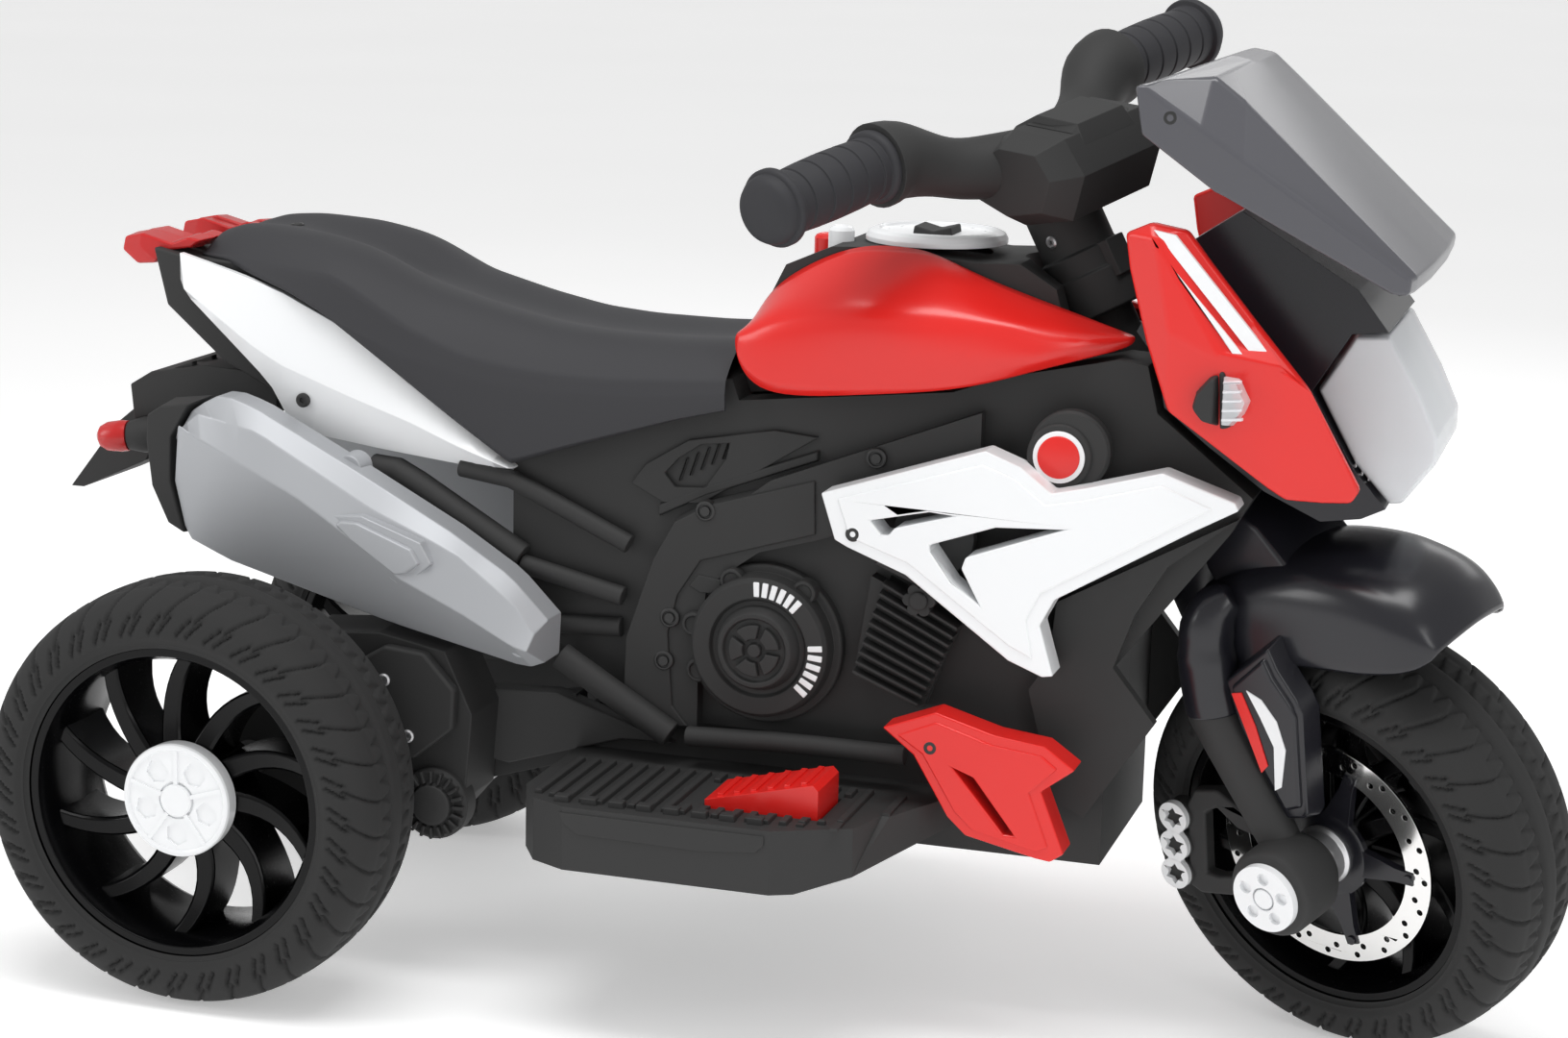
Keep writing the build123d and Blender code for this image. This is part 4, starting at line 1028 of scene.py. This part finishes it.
class TRIKE_OT_bars(Maker):
    """Make the column, the handlebar and the grips"""
    bl_idname = "trike.bars"
    bl_label = "Handlebar"

    def execute(self, context):
        column = Shape()
        column.lathe(up_column(172), COLUMN_DIR, [(0, 14), (126, 14), (126, 23), (127, 24), (148, 24),
                                                  (149, 22.5), (160, 22.5), (161, 20), (199, 20), (200, 26),
                                                  (202, 27), (210, 27), (212, 25), (212, 20)], 56)
        for along, high in ((313, 20), (352, 13)):
            column.rings([[up_column(along + a, 17, y), up_column(along + a, 26, y * 0.8),
                           up_column(along + a, 26, -y * 0.8), up_column(along + a, 17, -y)]
                          for a, y in ((0, 9), (high, 9))])
        column.piece("steer_column", ["body_black"], "steering", ["steering_stem"], bevel=0.7, turned=True)
        clip = Shape()
        for side in (-1, 1):
            clip.screw(*up_column(343, 2, side * 19.4), 3.4, 1.4, (0, side, 0))
        clip.piece("column_screws", ["steel"], "steering", turned=True)
        bar = Shape()
        path = smooth_line([(419, 20, 463), (408, 34, 464), (398, 54, 467), (388, 76, 475), (384, 88, 478.6),
                            (382.7, 100, 479.3)], 20)
        radii = [19, 18.5, 18, 17.5, 17, 16.6, 16.3, 16, 15.8, 15.6, 15.6, 15.8, 16.4, 17.2, 18.2, 19.2, 20.2,
                 21, 21.7, 22]
        bar.tube(path, radii, 32)
        bar.twin()
        core = [(392, 446), (399, 472), (420, 485), (452, 484), (464, 466), (455, 441), (424, 434)]
        slim = [(418 + (x - 418) * 0.72, 462 + (z - 462) * 0.7) for x, z in core]
        bar.rings([flat(slim, -46), flat(core, -33), flat(core, 33), flat(slim, 46)])
        pad = ((404, 0.9, 474), (421, 1, 485), (450, 1, 484), (456, 0.9, 478), (450, 0.8, 488),
               (424, 0.8, 489.5), (408, 0.7, 481))
        bar.rings([[(x, y * share, z) for x, share, z in pad] for y in (-24, 24)])
        bar.lathe((455, -20, 462), (0.92, 0, -0.36),
                  [(-4, 6), (5.4, 6), (6, 5.4), (6, 4.4), (2, 4), (2, 1)], 28)
        bar.piece("bar_moulding", ["body_black"], "steering", ["handlebar"], bevel=1.4, turned=True)
        grip = Shape()
        profile = [(98, 15), (99, 18.4), (101, 19), (104, 19), (105.4, 18), (106, 16.4)]
        for k in range(5):
            y = 111 + 13 * k
            swell = 16.2 + 1.1 * math.sin(math.pi * (k + 0.6) / 5)
            profile += [(y, swell), (y + 0.5, swell - 0.9), (y + 1.6, swell - 0.9), (y + 2.1, swell)]
        profile += [(170, 16.8), (173, 16.8), (173.6, 19.4), (174.6, 20), (177.4, 20), (178.4, 19.2),
                    (178.8, 17.8), (182, 17.4), (185, 15.6), (186.6, 12), (187, 5)]
        grip.lathe((382.7, 0, 479.3), (0, 1, 0), profile, 48)
        grip.twin().piece("hand_grips", ["grip_black"], "steering", ["grips"], bevel=0.2, angle=40,
                          turned=True)
        return {"FINISHED"}


GUARD_TOP = [(524, 0, 255), (540, 0, 265), (560, 0, 275), (585, 0, 281.5), (613, 0, 284), (635, 0, 282),
             (652, 0, 277), (665, 0, 268), (672, 0, 256)]
GUARD_SHOULDER = [(523, 36, 247), (538, 38, 258), (560, 40, 267), (585, 41, 273), (613, 41, 275),
                  (635, 40, 272), (650, 38, 267), (661, 35, 259), (668, 31, 250)]
GUARD_EDGE = [(566, 47, 212), (576, 47, 222), (590, 47, 228), (612, 47, 231), (630, 46, 233), (645, 44, 236),
              (654, 42, 239), (661, 38, 242), (665, 34, 246)]
LEG_PLATE = [(554, 217), (584, 246), (591, 232), (602, 218), (606, 210), (608, 153), (605, 147), (590, 143),
             (576, 166), (562, 192)]
LEG_PLATE_FACE = [(561, 215), (582, 237), (588, 226), (598, 214), (601, 207), (603, 156), (593, 151),
                  (580, 171), (568, 194)]


class TRIKE_OT_fork(Maker):
    """Make the fork with its fender, legs, brackets and hub ends"""
    bl_idname = "trike.fork"
    bl_label = "Fork"

    def execute(self, context):
        rows = [smooth_line(line, 28) for line in (GUARD_TOP, GUARD_SHOULDER, GUARD_EDGE)]
        rings = []
        for k, (t, s, e) in enumerate(zip(*rows)):
            full = min(1.0, (27 - k) / 6)
            half = [t, t.lerp(s, 0.55) + Vector((0, 0, 3.0 * full)), s,
                    s.lerp(e, 0.35) + Vector((0, 2.4 * full, 0)),
                    s.lerp(e, 0.7) + Vector((0, 1.6 * full, 0)), e]
            rings.append([Vector((p.x, -p.y, p.z)) for p in reversed(half[1:])] + half)
        guard = Shape().rings(rings, ends=False, closed=False)
        guard.piece("front_guard", ["gloss_black"], "steering", ["fork_crown"], thick=3.0, subdivide=1,
                    turned=True, angle=60)
        crown = Shape()
        block = [(548, 232), (528, 262), (522, 282), (540, 300), (560, 292), (580, 272)]
        crown.rings([flat(block, -30), flat(block, 30)])
        crown.lathe((525, 0, 232), COLUMN_DIR, [(0, 30), (52, 30), (56, 27), (56, 14)], 48)
        crown.piece("fork_bridge", ["gloss_black"], "steering", bevel=1.6, turned=True)
        legs = Shape()
        leg = [(552, 41, 257), (544, 46, 249), (541, 49.5, 235), (543, 51, 215), (547, 52, 194)]
        legs.tube(smooth_line(leg, 16),
                  [7, 10, 12, 13.2, 14] + [14.6] * 3 + [15.8] * 6 + [15.8, 15.4], 32)
        legs.raised(LEG_PLATE, 44, 57.5, 3)
        legs.raised(LEG_PLATE_FACE, 56, 60, 1.2)
        legs.twin().piece("leg_tops", ["gloss_black"], "steering", ["fork_legs"], bevel=1.0, turned=True)
        struts = Shape()
        struts.tube(resample([(542, 51, 206), (546, 52, 193), (592, 58, 128)], 8),
                    [15.5, 15.5, 15, 14.4, 13.8, 13.2, 12.6, 12], 32, 0.9)
        struts.lathe((598, 46, 115.6), (0, 1, 0), [(0, 18), (6, 22), (10, 24), (34, 24), (37, 22.8),
                                                  (38, 20)], 56)
        struts.twin().piece("leg_struts", ["body_black"], "steering", bevel=0.9, turned=True)
        stripe = Shape()
        stripe.plate([[(563, 212), (569, 214), (577, 197), (584, 176), (580, 171), (571, 193)]], 59.8, 60.6)
        stripe.use(1).plate([[(572, 216), (581, 213), (590, 203), (595, 188), (592, 166), (588, 163),
                              (588, 188), (580, 203)]], 59.8, 60.6)
        stripe.twin().piece("leg_stripes", ["panel_red", "panel_white"], "steering", turned=True)
        bracket = Shape()
        outline = [(592, 138), (570, 139), (547, 149), (533, 145), (528, 135), (528, 86), (536, 83),
                   (590, 96)]
        window = [(573, 128), (559, 130), (547, 138), (540, 133), (540, 97), (547, 97), (574, 106)]
        bracket.plate([outline, window], 47, 55.5)
        for z in (93, 110, 127):
            bracket.lathe((523, 47, z), (0, 1, 0), [(0, 8.8), (10.2, 8.8)], 28)
        bracket.twin().piece("brake_brackets", ["body_black"], "steering", ["brake_calipers"], bevel=1.2,
                             turned=True)
        star = Shape()
        for z in (93, 110, 127):
            hole = [(522 + (6.4 if i % 2 else 4.0) * math.cos(math.pi * i / 6),
                     z + (6.4 if i % 2 else 4.0) * math.sin(math.pi * i / 6)) for i in range(12)]
            star.plate([circle(522, z, 8.8, 36), hole], 56, 60)
        for z in (99, 116):
            star.prism([(518, z), (526, z), (526, z + 5), (518, z + 5)], 56.2, 59.8)
        star.twin().piece("star_plates", ["panel_white"], "steering", ["caliper_plates"], bevel=0.4,
                          turned=True)
        cap = Shape()
        holes = [circle(x, z, 3.4, 20) for x, z in circle(598, 115.6, 11.4, 5, math.radians(90))]
        cap.plate([circle(598, 115.6, 18.3, 56), circle(598, 115.6, 6.4, 32)] + holes, 84, 88.3)
        cap.lathe((598, 84, 115.6), (0, 1, 0), [(0, 17), (1.6, 17)], 48)
        cap.lathe((598, 85, 115.6), (0, 1, 0), [(0, 5.4), (3.4, 5.4), (4.0, 4.8)], 32)
        cap.twin().piece("hub_end_caps", ["panel_white"], "steering", ["front_axle_caps"], bevel=0.4,
                         turned=True)
        return {"FINISHED"}


# ---- wheels --------------------------------------------------------------------
def ease(x):
    x = min(1.0, max(0.0, x))
    return x * x * (3 - 2 * x)


def groove(distance, half):
    """Depth share of a rounded groove at a distance from its middle, in millimetres."""
    return ease((half + 0.7 - abs(distance)) / 0.9)


def tread_cut(turn, across, depth):
    """How deep the tyre surface lies below its crown: turn in radians, across from -1 to 1."""
    a = abs(across)
    offset = 0.0 if across > 0 else 0.5
    cut = 0.9 * groove((a - 0.105) * 62, 0.8) + 0.6 * groove((a - 0.30) * 62, 0.5)
    if 0.14 < a < 0.27:
        tooth = abs((turn * 72 / (2 * math.pi) + offset) % 1.0 - 0.5) * 2
        cut = max(cut, 0.7 * ease((tooth - 0.2 - (a - 0.14) * 4.5) / 0.3))
    sweep = 1.1 * ((a - 0.3) / 0.6) ** 1.6 if a > 0.3 else 0.0
    place = (((turn * 36 / (2 * math.pi) + offset + sweep) % 1.0) - 0.5) * 19
    if 0.31 < a < 0.70:
        cut = max(cut, 0.8 * groove(place, 0.5))
    if 0.64 < a < 0.86:
        ends = min(ease((a - 0.64) / 0.04), ease((0.86 - a) / 0.04))
        cut = max(cut, 0.85 * ends * groove(abs(place) - 3.4, 0.8))
    if a > 0.88:
        cut = max(cut, 0.45 * groove((a - 0.905) * 62, 0.4), 0.45 * groove((a - 0.965) * 62, 0.4))
    return cut * depth


def tyre_mesh():
    """One tyre about the Y axis at the origin, in metres, used for all three wheels."""
    section = [(35, 84), (37.6, 87), (39, 91.5), (38.9, 96), (38, 100), (35.5, 105), (32, 109), (27, 111.8),
               (20, 113.6), (10, 114.7), (0, 115)]
    half = smooth_line([(0, y, z) for y, z in section], 36)
    whole = half + [Vector((0, -p.y, p.z)) for p in reversed(half[:-1])]
    depth = sizes().tread_depth / MM
    steps = 720
    last = len(half) - 1
    outward = []
    for k, p in enumerate(whole):
        along = (whole[min(len(whole) - 1, k + 1)] - whole[max(0, k - 1)]).normalized()
        outward.append(Vector((0, along.z, -along.y)))
    points = []
    for i in range(steps):
        turn = 2 * math.pi * i / steps
        for k, p in enumerate(whole):
            q = p - outward[k] * tread_cut(turn, (k - last) / last, depth)
            points.append((q.z * math.sin(turn), q.y, q.z * math.cos(turn)))
    n = len(whole)
    faces = []
    for i in range(steps):
        j = (i + 1) % steps
        faces += [[i * n + k, i * n + k + 1, j * n + k + 1, j * n + k] for k in range(n - 1)]
    mesh = bpy.data.meshes.new("tyre")
    mesh.from_pydata([Vector(p) * MM for p in points], [], faces)
    return mesh


BLADES = 10
BLADE_FOOT = 20
BLADE_LENGTH = 57
BLADE_SWEEP = 0.36
DISC_HOLES = 20


def rim_shape():
    """Deep rim with curved blades, about the Y axis at the origin."""
    rim = Shape()
    barrel = [(-34, 84), (-34, 79.5), (-31, 78.5), (-27, 76.5), (0, 75.5), (27, 76.5), (31, 78.5), (34, 79.5),
              (34, 84), (33, 84.5), (28, 83), (-28, 83), (-33, 84.5)]
    rows = []
    for i in range(96):
        t = 2 * math.pi * i / 96
        rows.append([(r * math.cos(t), y, r * math.sin(t)) for y, r in barrel])
    rim.rings(rows + [rows[0]], ends=False)
    rim.lathe((0, 0, 0), (0, 1, 0),
              [(-26.5, 12), (-26.5, 20), (-24.5, 22), (24.5, 22), (26.5, 20), (26.5, 12)], 64)
    for k in range(BLADES):
        turn = 2 * math.pi * k / BLADES
        rings = []
        for i in range(11):
            t = i / 10
            r = BLADE_FOOT + BLADE_LENGTH * t
            bend = turn - BLADE_SWEEP * t ** 1.5
            edge = (6.2 - 1.2 * t) / r
            reach = 21 - 5 * math.sin(math.pi * t)
            corners = [(bend + edge, reach - 1.5), (bend + edge * 0.7, reach), (bend - edge * 0.7, reach),
                       (bend - edge, reach - 1.5), (bend - edge, -reach + 1.5), (bend - edge * 0.7, -reach),
                       (bend + edge * 0.7, -reach), (bend + edge, -reach + 1.5)]
            rings.append([(r * math.cos(a), y, r * math.sin(a)) for a, y in corners])
        rim.rings(rings)
    return rim


def on_wheel(shape, centre, turned, name, finishes, body, replaces, **look):
    """Places a shape drawn about the wheel's own centre."""
    shape.bent(lambda p: p + Vector(centre))
    return shape.piece(name, finishes, body, replaces, turned=turned, **look)


class TRIKE_OT_wheels(Maker):
    """Make the three wheels with their tyres, rims, caps and brake discs"""
    bl_idname = "trike.wheels"
    bl_label = "Wheels"

    def execute(self, context):
        spots = (("rear_left", (0, TRACK, AXLE_Z), False, "rear_wheel_left", "rear_tyre_left",
                  "rear_rim_left"),
                 ("rear_right", (0, -TRACK, AXLE_Z), False, "rear_wheel_right", "rear_tyre_right",
                  "rear_rim_right"),
                 ("front", (FRONT[0], 0, FRONT[1]), True, "front_wheel", "front_tyre", "front_rim"))
        tyre = tyre_mesh()
        for name, centre, turned, body, tyre_node, rim_node in spots:
            mesh = tyre.copy()
            mesh.transform(Matrix.Translation(at(*centre)))
            settle(mesh, "tyre_" + name, ["tyre_black"], body, [tyre_node], angle=60, turned=turned,
                   weld=0.001)
            on_wheel(rim_shape(), centre, turned, "rim_" + name, ["rim_black"], body, [rim_node], bevel=0.6)
        bpy.data.meshes.remove(tyre)
        for side, sign in (("left", 1), ("right", -1)):
            cap = Shape()
            cap.lathe((0, 20.2, 0), (0, 1, 0), [(0, 30.6), (8.2, 31), (9.4, 30.4), (9.8, 29.4), (9.8, 28.2),
                                               (9.2, 27.4), (7.4, 27)], 72)
            spots = [math.radians(-90 + 72 * n) for n in range(5)]
            cells = [circle(18.4 * math.cos(a), 18.4 * math.sin(a), 6.6, 6, a) for a in spots]
            cap.plate([circle(0, 0, 27.4, 64), circle(0, 0, 10.2, 32)] + cells, 26.6, 28.8)
            rib = ((9, -1.1), (27.6, -1.1), (27.6, 1.1), (9, 1.1))
            for a in spots:
                cap.prism(turned_out((0, 0), a + math.radians(36), rib), 28, 29.7)
            cap.lathe((0, 26, 0), (0, 1, 0), [(0, 9), (3.4, 9), (4, 8.2), (4, 3)], 40)
            cap.bent(lambda p: (p.x, p.y * sign, p.z))
            on_wheel(cap, (0, sign * TRACK, AXLE_Z), False, "wheel_cap_" + side, ["panel_white"],
                     "rear_wheel_" + side, ["hub_cap_" + side], bevel=0.4)
        disc = Shape()
        holes = []
        for k in range(DISC_HOLES):
            for r, shift in ((59, 0), (54.5, 0.1)):
                a = 2 * math.pi * k / DISC_HOLES + shift
                holes.append(circle(r * math.cos(a), r * math.sin(a), 1.7, 12))
        disc.plate([circle(0, 0, 62.8, 96), circle(0, 0, 48, 72)] + holes, 28, 30)
        disc.use(1)
        disc.lathe((0, 27, 0), (0, 1, 0), [(0, 25), (3.4, 25), (4.4, 23), (4.4, 15)], 56)
        arm = ((20, -9), (42, -4.5), (53, -4), (53, 4), (42, 4.5), (20, 9))
        for k, (x, z) in enumerate(circle(0, 0, 50, 5)):
            disc.raised(turned_out((0, 0), 2 * math.pi * k / 5, arm), 27, 31, 0.6)
            disc.lathe((x, 31, z), (0, 1, 0), [(0, 2.6), (1.2, 2.4)], 16)
        on_wheel(disc.twin(), (FRONT[0], 0, FRONT[1]), True, "brake_rotors", ["disc_chrome", "gloss_black"],
                 "front_wheel", ["brake_discs"], bevel=0.3)
        spacer = Shape().lathe((0, 31, 0), (0, 1, 0), [(0, 16), (2, 16.5), (4, 14.5), (12, 14), (14, 13.4),
                                                     (15, 13)], 56)
        on_wheel(spacer.twin(), (FRONT[0], 0, FRONT[1]), True, "turned_spacers", ["spacer_aluminium"],
                 "front_wheel", ["hub_spacers"], bevel=0.3)
        return {"FINISHED"}


class TRIKE_OT_inner_parts(Maker):
    """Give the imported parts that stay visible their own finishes"""
    bl_idname = "trike.inner_parts"
    bl_label = "Inner parts"

    def execute(self, context):
        keys = {"battery": "battery_grey", "control_box": "bush_black", "speaker": "bush_black",
                "drive_motor": "steel", "steering_bushes": "bush_black", "rear_axle": "steel",
                "axle_spacers": "body_black", "axle_nuts": "steel", "front_axle": "steel",
                 "pedal_pin": "steel"}
        for node, key in keys.items():
            mesh = frame["nodes"][node].data
            mesh.materials.clear()
            mesh.materials.append(finish(key))
        return {"FINISHED"}


# ---- studio --------------------------------------------------------------------
WORLD_LIGHT = 0.52
CAMERA_TURN = 16.95
CAMERA_RISE = 12.15
CAMERA_ROLL = 1.44
CAMERA_LENS = 71.69
CAMERA_AIM = (273.5, 0.32, 253.19)
CAMERA_REACH = 1.7219


class TRIKE_OT_stage(Maker):
    """Set up the floor, the soft lights and the camera"""
    bl_idname = "trike.stage"
    bl_label = "Stage"

    def execute(self, context):
        s = Shade("studio_floor")
        tone = s.noise(s.place(), 1.3, 3.0)
        base = s.blend(tone, (0.90, 0.90, 0.90, 1), (0.94, 0.94, 0.94, 1))
        s.surface({"Base Color": base, "Roughness": (0.55 + (tone - 0.5) * 0.1).clamped(),
                   "Specular IOR Level": 0.1, "Emission Color": base, "Emission Strength": 0.38})
        half = sizes().floor_size / 2
        mesh = bpy.data.meshes.new("floor")
        mesh.from_pydata([(-half, -half, 0), (half, -half, 0), (half, half, 0), (-half, half, 0)], [],
                         [[0, 1, 2, 3]])
        mesh.materials.append(s.material)
        floor = bpy.data.objects.new("floor", mesh)
        context.scene.collection.objects.link(floor)
        world = bpy.data.worlds.new("studio")
        world.use_nodes = True
        world.node_tree.nodes["Background"].inputs["Color"].default_value = (1, 1, 1, 1)
        world.node_tree.nodes["Background"].inputs["Strength"].default_value = WORLD_LIGHT
        context.scene.world = world
        for name, spot, aim, size, power in (
                ("top_box", (0.1, -0.5, 2.2), (0, 0, 0.2), (1.7, 0.7), 25),
                ("front_box", (1.9, -1.6, 1.1), (0, 0, 0.25), (0.5, 1.3), 7),
                ("rear_box", (-2.0, -1.2, 1.0), (0, 0, 0.3), (0.5, 1.0), 8),
                ("back_strip", (0.4, 2.2, 1.3), (0, 0, 0.3), (2.2, 0.4), 5)):
            light = bpy.data.lights.new(name, "AREA")
            light.shape = "RECTANGLE"
            light.size, light.size_y = size
            light.energy = power
            lamp = bpy.data.objects.new(name, light)
            lamp.location = spot
            lamp.rotation_mode = "QUATERNION"
            lamp.rotation_quaternion = (Vector(aim) - Vector(spot)).to_track_quat("-Z", "Y")
            context.scene.collection.objects.link(lamp)
        turn, rise, roll = (math.radians(a) for a in (CAMERA_TURN, CAMERA_RISE, CAMERA_ROLL))
        right = Vector((math.cos(turn), math.sin(turn), 0))
        back = Vector((math.sin(turn) * math.cos(rise), -math.cos(turn) * math.cos(rise), math.sin(rise)))
        up = back.cross(right)
        side = right * math.cos(roll) + up * math.sin(roll)
        top = up * math.cos(roll) - right * math.sin(roll)
        camera = bpy.data.objects.new("camera", bpy.data.cameras.new("camera"))
        camera.data.lens = CAMERA_LENS
        camera.data.sensor_width = 36.0
        place = Matrix((side, top, back)).transposed().to_4x4()
        place.translation = at(*CAMERA_AIM) + back * CAMERA_REACH
        camera.matrix_world = place
        context.scene.collection.objects.link(camera)
        context.scene.camera = camera
        context.scene.view_settings.view_transform = "Standard"
        return {"FINISHED"}


# ---- add-on --------------------------------------------------------------------
OPERATORS = (TRIKE_OT_stage, TRIKE_OT_inner_parts, TRIKE_OT_seat, TRIKE_OT_tail, TRIKE_OT_exhausts,
             TRIKE_OT_body, TRIKE_OT_tank, TRIKE_OT_chassis, TRIKE_OT_nose, TRIKE_OT_bars, TRIKE_OT_fork,
             TRIKE_OT_wheels)


class TRIKE_PT_panel(bpy.types.Panel):
    """Lists the makers of the trike's pieces"""
    bl_idname = "TRIKE_PT_panel"
    bl_label = "Trike"
    bl_space_type = "VIEW_3D"
    bl_region_type = "UI"
    bl_category = "Trike"

    def draw(self, context):
        column = self.layout.column(align=True)
        for group in (colours(), sizes()):
            for key in group.bl_rna.properties.keys():
                if key not in ("rna_type", "name"):
                    column.prop(group, key)
        for operator in OPERATORS:
            column.operator(operator.bl_idname)


CLASSES = (TrikeColours, TrikeSizes) + OPERATORS + (TRIKE_PT_panel,)


def register():
    for item in CLASSES:
        bpy.utils.register_class(item)
    bpy.types.Scene.trike_colours = bpy.props.PointerProperty(type=TrikeColours)
    bpy.types.Scene.trike_sizes = bpy.props.PointerProperty(type=TrikeSizes)


def unregister():
    del bpy.types.Scene.trike_sizes
    del bpy.types.Scene.trike_colours
    for item in reversed(CLASSES):
        bpy.utils.unregister_class(item)


def main():
    register()
    for operator in OPERATORS:
        group, name = operator.bl_idname.split(".")
        getattr(getattr(bpy.ops, group), name)()


if __name__ == "__main__":
    main()
